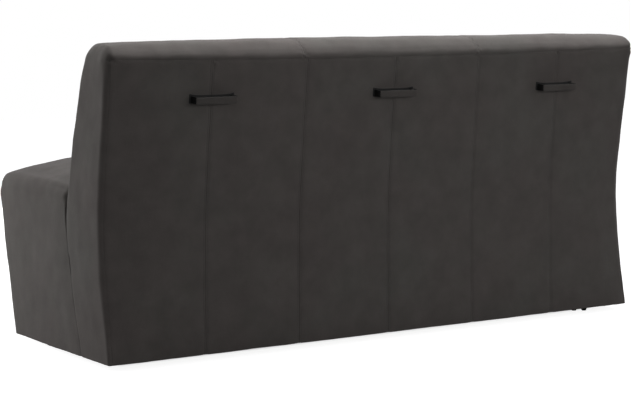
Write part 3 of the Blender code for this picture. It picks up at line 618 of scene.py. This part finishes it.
# Black finish of the plates behind the handles: painted shadow, not a real felt
SHADOW_PLATE_FINISH = plain("painted_shadow_black", grey(0.003), grey(0.009), 0.98, 1400.0, 0.0004)
BLACK_NYLON = plain("black_nylon", grey(0.009), grey(0.016), 0.50, 700.0, 0.0001)
PLYWOOD = plain("birch_plywood", (0.42, 0.28, 0.15), (0.60, 0.43, 0.25), 0.70, 14.0, 0.0003,
                stretch=(0.6, 9.0, 9.0))
FOAM_SKIN = plain("open_cell_foam", (0.62, 0.55, 0.33), (0.78, 0.72, 0.48), 0.95, 700.0, 0.0008)
WEBBING = plain("elastic_webbing", grey(0.022), grey(0.050), 0.85, 900.0, 0.0005, stretch=(0.15, 1.0, 1.0))
LINING = plain("non_woven_lining", grey(0.010), grey(0.026), 0.95, 420.0, 0.0004)
SPRING_STEEL = plain("spring_steel", grey(0.28), grey(0.42), 0.35, 60.0, 0.0001, metallic=1.0)
ZINC = plain("zinc_plate", (0.46, 0.47, 0.49), (0.62, 0.63, 0.65), 0.32, 220.0, 0.0001, metallic=1.0)


# Swelling of the padded covers, simulated as cloth
def blown(coarse, faces, sewn):
    """How far wadding pushes a sheet out along its normals, held at its rim and at its sewn points."""
    scene = bpy.context.scene
    sheet = new_object("blown_sheet", mesh_of("blown_sheet", coarse, faces))
    held = np.union1d(rim_of(faces, len(coarse)), np.flatnonzero(sewn))
    sheet.vertex_groups.new(name="sewn").add(held.tolist(), 1.0, "REPLACE")
    cloth = sheet.modifiers.new("cloth", "CLOTH")
    cloth.settings.vertex_group_mass = "sewn"
    cloth.settings.mass = CLOTH_MASS
    cloth.settings.use_pressure = True
    cloth.settings.uniform_pressure_force = CLOTH_PRESSURE
    cloth.settings.effector_weights.gravity = 0.0
    cloth.point_cache.frame_start, cloth.point_cache.frame_end = 1, CLOTH_FRAMES
    for step in range(1, CLOTH_FRAMES + 1):
        scene.frame_set(step)
    swollen = sheet.evaluated_get(bpy.context.evaluated_depsgraph_get()).data
    after = np.array([vertex.co for vertex in swollen.vertices])
    bpy.data.objects.remove(sheet)
    scene.frame_set(1)
    return np.maximum(((after - coarse) * normals_of(coarse, faces)).sum(axis=1), 0)


def swelling(base, coarse, faces, sewn, limit):
    """Simulated swelling read at the points of a finer sheet, and kept within a limit."""
    out = blown(coarse, faces, sewn)
    surface = BVHTree.FromPolygons(coarse.tolist(), faces.tolist())
    found = []
    for point in base:
        spot, normal, index, distance = surface.find_nearest(Vector(point))
        corners = faces[index]
        weights = poly_3d_calc([Vector(coarse[corner]) for corner in corners], spot)
        found.append(np.dot(weights, out[corners]))
    limit = np.maximum(limit, 1e-6)
    return limit * np.tanh(np.array(found) / limit)


# Seams, folds and puckers of the covers, as heights along the normal
def twin_seam(away):
    """Cross-section of a twin-stitched seam, by the distance away from its line."""
    return -dent(away, *SEAM_DISH) - dent(away - TWIN, *SEAM_ROW) - dent(away, *SEAM_CREASE)


def puckers(points, distance, height=PUCKER):
    """Small unevenness that dies away with the distance from a seam."""
    return height * pucker_swell(points) * np.exp(-distance / PUCKER_REACH)


def fold(points, start, end, depth, width):
    """Groove along a straight fold, deepest at its start."""
    start, run = np.array(start), np.array(end) - np.array(start)
    along = np.clip((points - start) @ run / (run @ run), 0, 1)
    distance = np.linalg.norm(points - start - along[:, None] * run, axis=1)
    return -depth * (1 - FOLD_FADE * along) * bell(distance, width)


def sag_seam(points):
    """Let the seam under the top band hang a little between the ends."""
    x, y, z = points.T
    near_seam = ramp(z, SEAM_Z - SAG_BELOW, SEAM_Z) * (1 - ramp(z, SEAM_Z, SEAM_Z + SAG_ABOVE))
    points[:, 2] -= TOP_SEAM_SAG * (1 - (x / HALF) ** 2) * near_seam


def puff_corner(points):
    """Let the upper rear corners stand out a little, where the cloth of the bands is gathered."""
    x, y, z = points.T
    aside, ahead, above = HALF - abs(x), rear_at_end(SEAM_Z) - y, z - SEAM_Z - PUFF_RISE
    share = bell(np.sqrt(aside ** 2 + ahead ** 2 + above ** 2), PUFF_REACH)
    points[:, 0] += CORNER_PUFF * share * np.sign(x)
    points[:, 1] += CORNER_PUFF * share


def seam_lean(x, z):
    """How far the panel's seams stand aside from upright, as they do in the photograph."""
    share = np.clip((x + 2 * STRIP) / (3 * STRIP), 0, 1) * (1 - (x / PANEL_HALF) ** 8)
    return -LEAN * share * (z - LEAN_MIDDLE) / LEAN_SPAN


def hem_ripple(points):
    """Uneven pull of the cloth where it is turned under at the hem."""
    height, reach = HEM_RIPPLE
    return height * small_swell(points * (1, 1, 0)) * bell(points[:, 2] - HEM, reach)


def uneven(points, broad):
    """Uneven filling, which the turned hem holds straighter than the rest."""
    share = lerp(HEM_UNEVEN_SHARE, 1.0, ramp(points[:, 2], HEM, HEM_UNEVEN_Z))
    return (broad * broad_swell(points) + SMALL_UNEVEN * small_swell(points)) * share


# Covers
def cloth_cells(top, step_d, keep):
    """Coarse cells of a cover, for its simulation."""
    return box_cells(knots(-COVER_END, COVER_END, CLOTH_STEP), knots(0.0, 1.0, step_d),
                     knots(COVER_HEM, top, CLOTH_STEP), keep)


def cover(name, faces, base, height, nodes):
    """Cloth cover: base points moved along their normals by a height, closed with an inner layer."""
    normals = normals_of(base, faces)
    outer = base + normals * height[:, None]
    mesh = closed_mesh(name, outer, base - normals * COVER_WALL, faces)
    piece = add(name, mesh, CLOTH, nodes=nodes)
    return BVHTree.FromPolygons(outer.tolist(), faces.tolist())


def back_radii(x, d, z):
    """Radii of the back cover's edges at its ends, front, rear, top and hem."""
    above_hem = ramp(z, HEM, HEM + HEM_BLEND)
    above_seat = ramp(z, BEHIND_SEAT_Z, ABOVE_SEAT_Z)
    near_top = ramp(z, *TOP_BLEND_Z)
    at_rear = d > 0.5
    end = np.where(at_rear, lerp(*REAR_EDGE_RADII, above_hem), lerp(*FRONT_EDGE_RADII, above_seat))
    end_at_top = np.where(at_rear, REAR_EDGE_AT_TOP, FRONT_EDGE_AT_TOP)
    to_top = ramp(z, SEAM_Z - np.where(at_rear, 0.0, END_BLEND_BELOW), SEAM_Z + END_BLEND_ABOVE)
    front = lerp(lerp(*FRONT_RADII, above_seat), FRONT_AT_TOP, near_top)
    banded = np.maximum(near_top, 1 - ramp(abs(x), LIP_X - SIDE_BLEND, LIP_X))
    band = lerp(*BAND_RADII, near_end(x, start=0.09, stop=0.01))
    rear = lerp(lerp(*REAR_RADII, above_hem), band, banded)
    top = lerp(*TOP_RADII, ramp(d, *TOP_RADII_D))
    return [lerp(end, end_at_top, to_top), front, rear, top, HEM_ROUND]


def build_back_cover():
    """Front, top band and end bands of the back, in one sewn cover."""
    def keep(axis, side, x, d, z):
        """Leave out what the seat and the panel cover, and the underside but for its turned hem."""
        inside = abs(x) < LIP_X
        if axis == 1 and side == 0:
            return ~(inside & (z < HOOD_OPENING_Z))
        if axis == 1:
            return ~(inside & (z < SEAM_Z))
        if axis == 2 and side == 0:
            return abs(x) > HALF - HEM_TURN
        return np.ones(x.shape, bool)

    def front(z):
        return front_of_back(z) - COVER_OUT

    def rear(z):
        return rear_at_end(z) + COVER_OUT

    def shape(places):
        """Points of the cover before it is sewn and filled."""
        x, d, z = places.T
        top = HEIGHT - TOP_CROWN * (x / HALF) ** 4
        z = np.where(z > SEAM_Z, SEAM_Z + (z - SEAM_Z) * (top - SEAM_Z) / (HEIGHT - SEAM_Z), z)
        base = soft_box(np.stack([x, d, z], axis=1), (COVER_END, front, rear, top, COVER_HEM),
                        back_radii(x, d, z))
        ahead, behind = front_of_back(base[:, 2]), rear_at_end(base[:, 2])
        place = (base[:, 1] - ahead) / (behind - ahead)
        from_ridge = np.where(place > RIDGE, (place - RIDGE) / (1 - RIDGE),
                              RIDGE_FRONT_FALL * (RIDGE - place) / RIDGE)
        base[:, 2] -= TOP_FALL * from_ridge ** 2 * ramp(base[:, 2], SEAM_Z, HEIGHT)
        sag_seam(base)
        puff_corner(base)
        above_seat = ramp(z, BEHIND_SEAT_Z, ABOVE_SEAT_Z)
        base[:, 1] -= BACK_CROWN * (1 - d) * above_seat * (1 - (x / HALF) ** 4)
        return base

    xs = knots(-COVER_END, COVER_END, CELL_X, [*SECTION_SEAMS, -LIP_X, LIP_X], soft_low=0.05, soft_high=0.05)
    ds = knots(0.0, 1.0, CELL_D, soft_low=0.20, soft_high=0.20)
    zs = knots(COVER_HEM, HEIGHT, CELL_Z, [SEAM_Z, HOOD_OPENING_Z], soft_low=0.006, soft_high=0.048)
    places, faces = box_cells(xs, ds, zs, keep)
    x, d, z = places.T
    base = shape(places)
    section = nearest(x, SECTION_SEAMS)
    sewn_here = z > BEHIND_SEAT_Z
    near_top = ramp(z, *BACK_FADE_Z)
    to_panel = np.hypot(np.maximum(abs(x) - LIP_X, 0), np.maximum(z - SEAM_Z, 0))
    edge = np.where(d > 0.999, to_panel, 1.0)
    edge_dent = np.where(z > SEAM_Z - BAND_DENT_REACH, BAND_DENT, SIDE_DENT)
    height = twin_seam(section) * sewn_here * lerp(1.0, BACK_SEAM_AT_TOP, near_top)
    height -= dent(edge, edge_dent, LIP_DENT_WIDTH)
    height += uneven(base, BACK_UNEVEN)
    height += puckers(base, section) * sewn_here + puckers(base, edge)
    coarse, coarse_faces = cloth_cells(HEIGHT, BACK_CLOTH_D, keep)
    sewn = (nearest(coarse[:, 0], SECTION_SEAMS) < SEWN_REACH) & (coarse[:, 2] > BEHIND_SEAT_Z)
    limit = (1 - near_end(x, start=0.06, stop=0.01)) * lerp(BACK_SWELL, BACK_SWELL_AT_TOP, near_top)
    height += swelling(base, shape(coarse), coarse_faces, sewn, limit)
    rear_y = rear_at_end(SEAM_Z)
    for side in (-1, 1):
        corner = (side * LIP_X, rear_y, SEAM_Z)
        fold_end = (side * (HALF - CORNER_FOLD_INSET), rear_y - CORNER_FOLD_RUN, HEIGHT - CORNER_FOLD_INSET)
        height += fold(base, corner, fold_end, *CORNER_FOLD)
        height -= dent(np.linalg.norm(base - corner, axis=1), *BAND_CORNER_DENT)
    return cover("back_cover", faces, base, height, ["back_hood"])


def hollow_share(x):
    """How far the panel follows the bent rear line, from its flat middle to its ends."""
    flat = HANDLE_XS[-1] + HANDLE_LENGTH / 2 + HANDLE_MARGIN
    share = np.maximum(0, (abs(x) - flat) / (PANEL_HALF - flat))
    return PANEL_BRIDGE + (1 - PANEL_BRIDGE) * share ** 2


def to_handles(x, z):
    """Distance of each place on the panel from the nearest handle."""
    return np.min([np.hypot(np.maximum(abs(x - middle) - HANDLE_LENGTH / 2, 0), z - HANDLE_Z)
                   for middle in HANDLE_XS], axis=0)


def build_back_panel():
    """Outer back of six strips between twin-stitched seams."""
    def shape(xs, zs):
        """Places across and up the cloth, points and quads of a grid of the panel."""
        columns, rows = np.meshgrid(xs, zs, indexing="ij")
        x, v = columns.ravel(), rows.ravel()
        index = np.arange(len(x)).reshape(columns.shape)
        corners = [index[:-1, :-1], index[:-1, 1:], index[1:, 1:], index[1:, :-1]]
        faces = np.stack(corners, axis=-1).reshape(-1, 4)
        behind, below = soft_gaps([np.maximum(COVER_HEM - v, 0), np.maximum(v - COVER_HEM, 0)],
                                  [PANEL_HEM_ROUND, PANEL_HEM_ROUND])
        z = COVER_HEM + below
        turned = np.clip(1 - (COVER_END - abs(x)) / TURN_ACROSS, 0, 1)
        turn = TURN_DEEP * (1 - np.sqrt(1 - turned ** 2)) * ramp(z, HEM, HEM + HEM_BLEND)
        hollow = hollow_share(x)
        y = lerp(rear_chord(z), rear_at_end(z), hollow) + PANEL_OUT + PANEL_END_OUT * hollow - turn - behind
        base = np.stack([x + seam_lean(x, z), y, z], axis=1)
        sag_seam(base)
        puff_corner(base)
        return x, z, base, faces

    xs = knots(-PANEL_HALF, PANEL_HALF, PANEL_CELL_X, [*SEAMS, -PANEL_HALF, PANEL_HALF])
    zs = knots(COVER_HEM - HEM_TURN, PANEL_TOP, PANEL_CELL_Z, [PANEL_TOP], soft_low=0.020)
    x, z, base, faces = shape(xs, zs)
    seam = nearest(x, SEAMS)
    side = PANEL_HALF - abs(x)
    top = PANEL_TOP - z
    height = twin_seam(seam) * lerp(1.0, PANEL_SEAM_AT_TOP, ramp(z, *PANEL_FADE_Z))
    height -= (dent(top, *PANEL_TOP_DENT) + dent(side, *PANEL_SIDE_DENT)
               + dent(np.hypot(side, top), *PANEL_CORNER_DENT))
    quiet = 1 - bell(to_handles(x, z), HANDLE_QUIET)
    height += uneven(base, PANEL_UNEVEN) * quiet
    height += (puckers(base, seam) + puckers(base, top, PANEL_TOP_PUCKER)
               + puckers(base, side, PANEL_SIDE_PUCKER) + hem_ripple(base))
    coarse_x, coarse_z, coarse, coarse_faces = shape(knots(-PANEL_HALF, PANEL_HALF, CLOTH_STEP),
                                                     knots(COVER_HEM, PANEL_TOP, CLOTH_STEP))
    sewn = nearest(coarse_x, SEAMS) < SEWN_REACH
    height += swelling(base, coarse, coarse_faces, sewn, PANEL_SWELL * quiet)
    return cover("outer_back_panel", faces, base, height, ["back_panel"])


def build_seat_cover():
    """Seat top, front and ends in one stretched cover over the foam."""
    def keep(axis, side, x, d, z):
        """Leave out the rear below the cushion, and the underside but for its turned hem."""
        if axis == 1 and side == 1:
            return (abs(x) > HALF - SEAT_REAR_FLANGE) | (z > CUSHION_Z)
        if axis == 2 and side == 0:
            return (abs(x) > HALF - HEM_TURN) | (d < SEAT_FRONT_FLANGE)
        return np.ones(x.shape, bool)

    def front(z):
        return seat_front(z) - COVER_OUT

    def rear(z):
        return front_of_back(z) - SEAT_BEHIND - CUSHION_BEHIND * ramp(z, *CUSHION_BLEND_Z)

    def shape(places):
        x, d, z = places.T
        upper = ramp(z, *SEAT_TOP_BLEND_Z)
        ahead = 1 - ramp(d, *SEAT_TOP_RADII_D)
        end_edge = np.where(d > 0.5, SEAT_REAR_EDGE, SEAT_FRONT_EDGE)
        radii = [lerp(end_edge, SEAT_EDGE_AT_TOP, upper), lerp(*SEAT_FRONT_RADII, upper),
                 lerp(*SEAT_REAR_RADII, upper), lerp(*SEAT_TOP_RADII, ahead), HEM_ROUND]
        base = soft_box(places, (COVER_END, front, rear, SEAT_EDGE, COVER_HEM), radii)
        base[:, 0] -= np.sign(x) * SEAT_END_TAPER * ramp(d, *SEAT_TAPER_D)
        near_top = ramp(base[:, 2], CUSHION_Z, SEAT_EDGE)
        from_full = np.maximum(0, 1 - (HALF - abs(base[:, 0])) / CROWN_SPAN)
        drawn_in = SEAT_EDGE_FALL * (2 * d - 1) ** 4 + dent(nearest(x, SECTION_SEAMS), *SECTION_DIP)
        base[:, 2] += near_top * (SEAT_CROWN * (1 - from_full ** 2) - drawn_in - SEAT_SETTLE)
        return base

    xs = knots(-COVER_END, COVER_END, CELL_X, SECTION_SEAMS, soft_low=0.040, soft_high=0.040)
    ds = knots(0.0, 1.0, CELL_D, soft_low=0.13, soft_high=0.07)
    zs = knots(COVER_HEM, SEAT_EDGE, CELL_Z, soft_low=0.006, soft_high=0.056)
    places, faces = box_cells(xs, ds, zs, keep)
    x, d, z = places.T
    base = shape(places)
    section = nearest(x, SECTION_SEAMS)
    height = twin_seam(section) + hem_ripple(base)
    height += uneven(base, SEAT_UNEVEN)
    height += puckers(base, section)
    coarse, coarse_faces = cloth_cells(SEAT_EDGE, SEAT_CLOTH_D, keep)
    sewn = nearest(coarse[:, 0], SECTION_SEAMS) < SEWN_REACH
    limit = lerp(SEAT_SWELL, SEAT_SWELL_AT_END, near_end(x, start=0.08, stop=0.0))
    height += swelling(base, shape(coarse), coarse_faces, sewn, limit)
    for side in (-1, 1):
        ends = [(side * (HALF - SEAT_FOLD_INSET), rear(SEAT_FOLD_Z) - ahead, fold_z)
                for ahead, fold_z in (SEAT_FOLD_START, SEAT_FOLD_END)]
        height += fold(base, *ends, *SEAT_FOLD)
    return cover("seat_cover", faces, base, height,
                 ["seat_cushion", "seat_front_pad", "seat_end_pad_left", "seat_end_pad_right"])


# Stitches and staples
def tacks(name, starts, ends, normals, width, material, slot):
    """Short rounded lengths of thread or wire lying on a surface, from each start to each end."""
    sides, rings = 5, ((0.0, 0.45), (0.2, 1.0), (0.8, 1.0), (1.0, 0.45))
    flatness, lift = 0.8, 0.3
    along = ends - starts
    across = np.cross(along, normals)
    across /= np.linalg.norm(across, axis=1)[:, None]
    corners = []
    for place, scale in rings:
        for corner in range(sides):
            angle = 2 * math.pi * corner / sides
            aside = across * math.cos(angle) * width / 2
            out = aside + normals * (math.sin(angle) * flatness + lift) * width / 2
            corners.append(starts + along * place + out * scale)
    points = np.stack(corners, axis=1)
    faces = []
    for first in np.arange(len(starts)) * sides * len(rings):
        for ring in range(len(rings) - 1):
            start = first + ring * sides
            for corner in range(sides):
                low, next_low = start + corner, start + (corner + 1) % sides
                faces.append((low, low + sides, next_low + sides, next_low))
        faces.append(tuple(first + corner for corner in range(sides)))
        last = first + sides * (len(rings) - 1)
        faces.append(tuple(last + corner for corner in reversed(range(sides))))
    return add(name, mesh_of(name, points.reshape(-1, 3), faces), material)


def sewn_rows(name, surface, rows):
    """Rows of stitches where rays meet a surface, each row as (ray origins, direction)."""
    starts, ends, normals = [], [], []
    for origins, direction in rows:
        direction = Vector(direction)
        hits = [surface.ray_cast(Vector(origin), direction) for origin in origins]
        for (here, normal, *_), (there, *_) in zip(hits, hits[1:]):
            if here is None or there is None or -normal.dot(direction) < STITCH_FACING:
                continue
            if (there - here).length < 2 * STITCH:
                starts.append(here.lerp(there, STITCH_GAP))
                ends.append(here.lerp(there, 1 - STITCH_GAP))
                normals.append(normal)
    spans = [np.array(values) for values in (starts, ends, normals)]
    return tacks(name, *spans, THREAD_WIDTH, THREAD, "brushed_cloth")


def beside(lines):
    """Places of the two stitched lines of each twin seam."""
    return [line + side * TWIN for line in lines for side in (-1, 1)]


def upright(x, y, low, high):
    return [(x, y, z) for z in np.arange(low, high, STITCH)]


def leaning(x, y, low, high):
    return [(x + seam_lean(x, z), y, z) for z in np.arange(low, high, STITCH)]


def level(x, z, low, high):
    return [(x, y, z) for y in np.arange(REAR_HEM_Y + low, REAR_HEM_Y + high, STITCH)]


def sew_covers(back, panel, seat):
    """Twin rows of stitches along the seams of the three covers."""
    outside = 2.0
    backward, forward, down = (0, 1, 0), (0, -1, 0), (0, 0, -1)
    hem, top_seam = HEM + STITCH_START, PANEL_TOP - TOP_SEAM_SAG
    rows = [(leaning(x, outside, hem, top_seam), forward) for x in beside(SEAMS)]
    sewn_rows("panel_stitching", panel, rows)
    back_rows, seat_rows = [], []
    for x in beside(SECTION_SEAMS):
        back_rows += [(upright(x, -outside, BACK_ROWS_LOW, HEIGHT), backward),
                      (level(x, outside, *TOP_ROWS_Y), down),
                      (upright(x, outside, SEAM_Z - TOP_SEAM_SAG, HEIGHT), forward)]
        seat_rows += [(upright(x, -outside, hem, SEAT_ROWS_HIGH), backward),
                      (level(x, outside, *SEAT_ROWS_Y), down)]
    sewn_rows("back_stitching", back, back_rows)
    sewn_rows("seat_stitching", seat, seat_rows)


# Handles
def placed(points, location, tilt):
    """Points turned about the x axis and moved to a location."""
    turn = np.array(Matrix.Rotation(tilt, 3, "X"))
    return points @ turn.T + np.array(location)


def build_grips():
    """Cloth pads on the handles' bars, sewn along both long edges."""
    centre, half_height = (GRIP_TOP + GRIP_BOTTOM) / 2, (GRIP_TOP - GRIP_BOTTOM) / 2
    points, faces = soft_slab((-GRIP_HALF, GRIP_SEAT, GRIP_BOTTOM), (GRIP_HALF, GRIP_FACE, GRIP_TOP),
                              steps=(0.004, 0.0006, 0.0012), radii=(0.0012, 0.0009, 0.0012))
    x, out, up = points.T
    up = up - centre
    row = half_height - GRIP_ROW_INSET
    face = ramp(out, GRIP_SEAT, GRIP_FACE)
    fill = (1 - (x / GRIP_HALF) ** 6) * (1 - (up / half_height) ** 4)
    points[:, 1] += face * (GRIP_FILL * fill - dent(abs(up) - row, *GRIP_ROW))
    outside = 0.1
    inward = Vector(placed(np.array([(0.0, -1.0, 0.0)]), (0, 0, 0), HANDLE_TILT)[0])
    reach = GRIP_HALF - GRIP_ROW_END
    places = np.arange(-reach, reach, STITCH / 2)
    for number, middle in enumerate(HANDLE_XS, start=1):
        location = (middle, HANDLE_SEAT_Y, HANDLE_Z)
        spots = placed(points, location, HANDLE_TILT)
        grip = add(f"handle_{number}_pad", mesh_of("handle_pad", spots, faces), SHADED_GRIP_CLOTH,
                   nodes=[f"handle_{number}_grip"])
        surface = BVHTree.FromPolygons(spots.tolist(), faces.tolist())
        rows = []
        for side in (-1, 1):
            line = np.array([(place, outside, centre + side * row) for place in places])
            rows.append((placed(line, location, HANDLE_TILT), inward))
        sewn_rows(f"handle_{number}_stitching", surface, rows)


def build_shadow_plates():
    """Thin black plate behind each handle, standing out round it: painted shadow on the cloth round the
    handle.
    """
    points, faces = soft_slab((-SHADOW_PLATE_HALF, SHADOW_PLATE_BACK, SHADOW_PLATE_BOTTOM), (SHADOW_PLATE_HALF, SHADOW_PLATE_FACE, SHADOW_PLATE_TOP),
                              steps=(0.003, 0.0006, 0.002), radii=(0.003, 0.0007, 0.003))
    x, out, up = points.T
    points[:, 2] -= SHADOW_PLATE_DIP * (1 - (x / SHADOW_PLATE_HALF) ** 4) * ramp(up, 0.0, SHADOW_PLATE_TOP)
    for number, middle in enumerate(HANDLE_XS, start=1):
        spots = placed(points, (middle, HANDLE_SEAT_Y, HANDLE_Z), HANDLE_TILT)
        add(f"handle_{number}_shadow_plate", mesh_of("handle_shadow_plate", spots, faces), SHADOW_PLATE_FINISH)


# Inner pieces and wheels
def build_foam():
    """Foam of the back, leaning with the cover in front of it."""
    low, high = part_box("back_foam")
    points, faces = soft_slab((low[0], 0.0, low[2]), (high[0], 1.0, high[2]),
                              steps=(0.04, 0.25, 0.03), radii=(0.008, 0.2, 0.008))
    points[:, 1] = front_of_back(points[:, 2]) + FOAM_FRONT + FOAM * points[:, 1]
    piece = add("back_foam_block", mesh_of("back_foam_block", points, faces), FOAM_SKIN,
                nodes=["back_foam"])


def build_straps():
    """Ribbed elastic straps stretched across the back's frame behind the foam."""
    for number, low in enumerate(STRAP_LOWS, start=1):
        node = f"back_webbing_{number}"
        high = low + STRAP_HEIGHT
        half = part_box(node)[1][0]
        first, last = front_of_back(low) + STRAP_FRONT, front_of_back(high) + STRAP_FRONT
        tilt = -math.atan((last - first) / STRAP_HEIGHT)
        points, faces = soft_slab((-half, -STRAP - FRAME_GAP, -STRAP_HEIGHT / 2),
                                  (half, -FRAME_GAP, STRAP_HEIGHT / 2),
                                  steps=(0.05, 0.0008, 0.0015), radii=(0.0006, 0.0006, 0.0006))
        points[:, 1] += STRAP_RIB * np.cos(2 * math.pi * points[:, 2] / STRAP_RIB_PITCH)
        spots = placed(points, (0.0, (first + last) / 2, (low + high) / 2), tilt)
        strap = add(f"{node}_strap", mesh_of(node, spots, faces), WEBBING, nodes=[node])


def build_dust_cover():
    """Lining stapled under the seat box, hanging a little in the middle."""
    low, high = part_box("dust_cover")
    points, faces = soft_slab(low, high, steps=(0.03, 0.02, 0.0006), radii=(0.0005, 0.0005, 0.0005))
    middle = [(first + last) / 2 for first, last in zip(low, high)]
    width, length = high[0] - low[0], high[1] - low[1]
    across = 2 * (points[:, 0] - middle[0]) / width
    along = 2 * (points[:, 1] - middle[1]) / length
    free = (1 - across ** 4) * (1 - along ** 2)
    points[:, 2] -= free * (LINING_HANG + LINING_WAVE * small_swell(points))
    lining = mesh_of("dust_lining", points, faces)
    sheet = add("dust_lining", lining, LINING, nodes=["dust_cover"])
    starts = []
    for x in np.arange(low[0] + STAPLE_PITCH / 2, high[0], STAPLE_PITCH):
        starts += [(x - STAPLE_HALF, y, low[2]) for y in (low[1] + STAPLE_INSET, high[1] - STAPLE_INSET)]
    starts = np.array(starts)
    ends = starts + (2 * STAPLE_HALF, 0, 0)
    down = np.tile((0.0, 0.0, -1.0), (len(starts), 1))
    staples = tacks("dust_lining_staples", starts, ends, down, STAPLE_WIRE, ZINC, "zinc_plate")


def build_wheels():
    """Castor wheels turned with a rounded tread, a dished side and a hub."""
    tread, half = WHEEL_TREAD, WHEEL_HALF
    rim = [(WHEEL_BORE, half - 0.0012), (0.0055, half - 0.0012), (0.0062, half - 0.0030),
           (0.0122, half - 0.0030), (0.0130, half - 0.0004), (0.0150, half),
           (tread - 0.0007, half - 0.0007), (tread, half - 0.0024)]
    profile = rim + [(radius, -width) for radius, width in reversed(rim)]
    angles = np.linspace(0, 2 * math.pi, WHEEL_SIDES, endpoint=False)
    count = len(profile)
    faces = []
    for step in range(WHEEL_SIDES):
        this_side, next_side = step * count, (step + 1) % WHEEL_SIDES * count
        for place in range(count):
            after = (place + 1) % count
            faces.append((this_side + place, this_side + after, next_side + after, next_side + place))
    up = np.array((0.0, 0.0, 1.0))
    for joint in ROLLS:
        wheel = joint["child"]
        axis = np.array(joint["axis"], float)
        ahead = np.cross(up, axis)
        centre = np.array(joint["pos_m"], float)
        points = [centre + radius * (math.cos(angle) * ahead + math.sin(angle) * up) + width * axis
                  for angle in angles for radius, width in profile]
        mesh = mesh_of("castor_wheel", np.array(points), faces)
        add(f"{wheel}_turned", mesh, BLACK_NYLON, body=wheel, nodes=[wheel])


def finish_nodes():
    """Finishes of the frame's own nodes, by the words in their names."""
    finishes = {"castor": BLACK_NYLON, "bracket": BLACK_METAL, "spring": SPRING_STEEL, "bolt": ZINC,
                "webbing": WEBBING, "foam": FOAM_SKIN, "dust": LINING, "board": PLYWOOD, "frame": PLYWOOD,
                "rib": PLYWOOD, "rail": PLYWOOD}
    for name, node in NODES.items():
        finish = next((finishes[word] for word in finishes if word in name), CLOTH)
        node.data.materials.clear()
        node.data.materials.append(finish)


# Studio
def build_floor():
    """White floor that keeps the sofa's shadow; its glow, seen only by the camera, is dimmed close to the
    sofa and left out under it, a painted shade that fades into the background away from it.
    """
    mesh = bpy.data.meshes.new("floor")
    corners = [(x * FLOOR_REACH, y * FLOOR_REACH, 0) for x, y in ((-1, -1), (1, -1), (1, 1), (-1, 1))]
    mesh.from_pydata(corners, [], [(0, 1, 2, 3)])
    floor = new_object("floor", mesh)
    material, tree, shader = new_material("floor")
    mesh.materials.append(material)
    set_inputs(shader, {"Base Color": (*grey(FLOOR_TONE), 1), "Roughness": 0.9,
                        "Specular IOR Level": 0.1, "Emission Color": (1, 1, 1, 1)})
    place = tree.nodes.new("ShaderNodeTexCoord").outputs["Object"]
    for operation, value in (("ABSOLUTE", None), ("SUBTRACT", FLOOR_SHADED), ("MAXIMUM", (0, 0, 0))):
        step = tree.nodes.new("ShaderNodeVectorMath")
        step.operation = operation
        tree.links.new(place, step.inputs[0])
        if value:
            step.inputs[1].default_value = value
        place = step.outputs["Vector"]
    away = tree.nodes.new("ShaderNodeVectorMath")
    away.operation = "LENGTH"
    tree.links.new(place, away.inputs[0])
    # Painted shade: the camera-only glow is zero under the sofa and weaker close to it
    glow_with_painted_shade = ramp_node(tree, away.outputs["Value"], [(0.0, grey(0.0)), (0.03, grey(0.90)), (0.40, grey(1.0))])
    path = tree.nodes.new("ShaderNodeLightPath")
    seen = math_node(tree, "MULTIPLY", path.outputs["Is Camera Ray"], glow_with_painted_shade)
    tree.links.new(seen, shader.inputs["Emission Strength"])


def build_world():
    """Soft white surroundings, seen as pure white."""
    world = bpy.data.worlds.new("studio")
    bpy.context.scene.world = world
    world.use_nodes = True
    tree = world.node_tree
    background = tree.nodes["Background"]
    set_inputs(background, {"Color": (1, 1, 1, 1)})
    path = tree.nodes.new("ShaderNodeLightPath")
    glossy = math_node(tree, "MAXIMUM", path.outputs["Is Camera Ray"], path.outputs["Is Glossy Ray"])
    clear = math_node(tree, "MAXIMUM", glossy, path.outputs["Is Transmission Ray"])
    strength = tree.nodes.new("ShaderNodeMapRange")
    set_inputs(strength, {"To Min": SURROUNDINGS})
    tree.links.new(clear, strength.inputs["Value"])
    tree.links.new(strength.outputs["Result"], background.inputs["Strength"])


def softbox(name, location, target, size, power):
    """Rectangular lamp at a location, turned towards a target."""
    light = bpy.data.lights.new(name, "AREA")
    light.shape = "RECTANGLE"
    light.size, light.size_y = size
    light.energy = power
    lamp = new_object(name, light)
    lamp.location = location
    lamp.rotation_euler = (Vector(target) - Vector(location)).to_track_quat("-Z", "Y").to_euler()


def build_camera():
    """Camera at the photograph's place, worked out from its vanishing lines."""
    lens = bpy.data.cameras.new("camera")
    lens.sensor_fit = "HORIZONTAL"
    lens.lens = LENS
    camera = new_object("camera", lens)
    x, y, z = CAMERA_PLACE
    camera.location = (x, REAR_HEM_Y + y, z)
    camera.rotation_euler = (math.radians(CAMERA_TILT), 0, math.radians(CAMERA_TURN))
    bpy.context.scene.camera = camera


build_camera()
back_surface = build_back_cover()
panel_surface = build_back_panel()
seat_surface = build_seat_cover()
sew_covers(back_surface, panel_surface, seat_surface)
build_grips()
build_shadow_plates()
build_foam()
build_straps()
build_dust_cover()
build_wheels()
finish_nodes()
build_floor()
build_world()
softbox("overhead", location=(-0.4, 0.21, 1.5), target=(-0.4, 0.21, 0.0), size=(3.2, 0.35), power=20)
softbox("side", location=(2.3, -1.4, 0.75), target=(0.9, 0.0, 0.4), size=(1.4, 0.9), power=22)
softbox("front", location=(0.3, -3.5, 0.4), target=(0.0, 0.0, 0.5), size=(3.2, 0.5), power=45)
softbox("fill", location=(-0.5, 2.2, 1.1), target=(-0.5, 0.3, 0.95), size=(2.8, 0.5), power=10)
bpy.context.scene.view_settings.view_transform = "Standard"
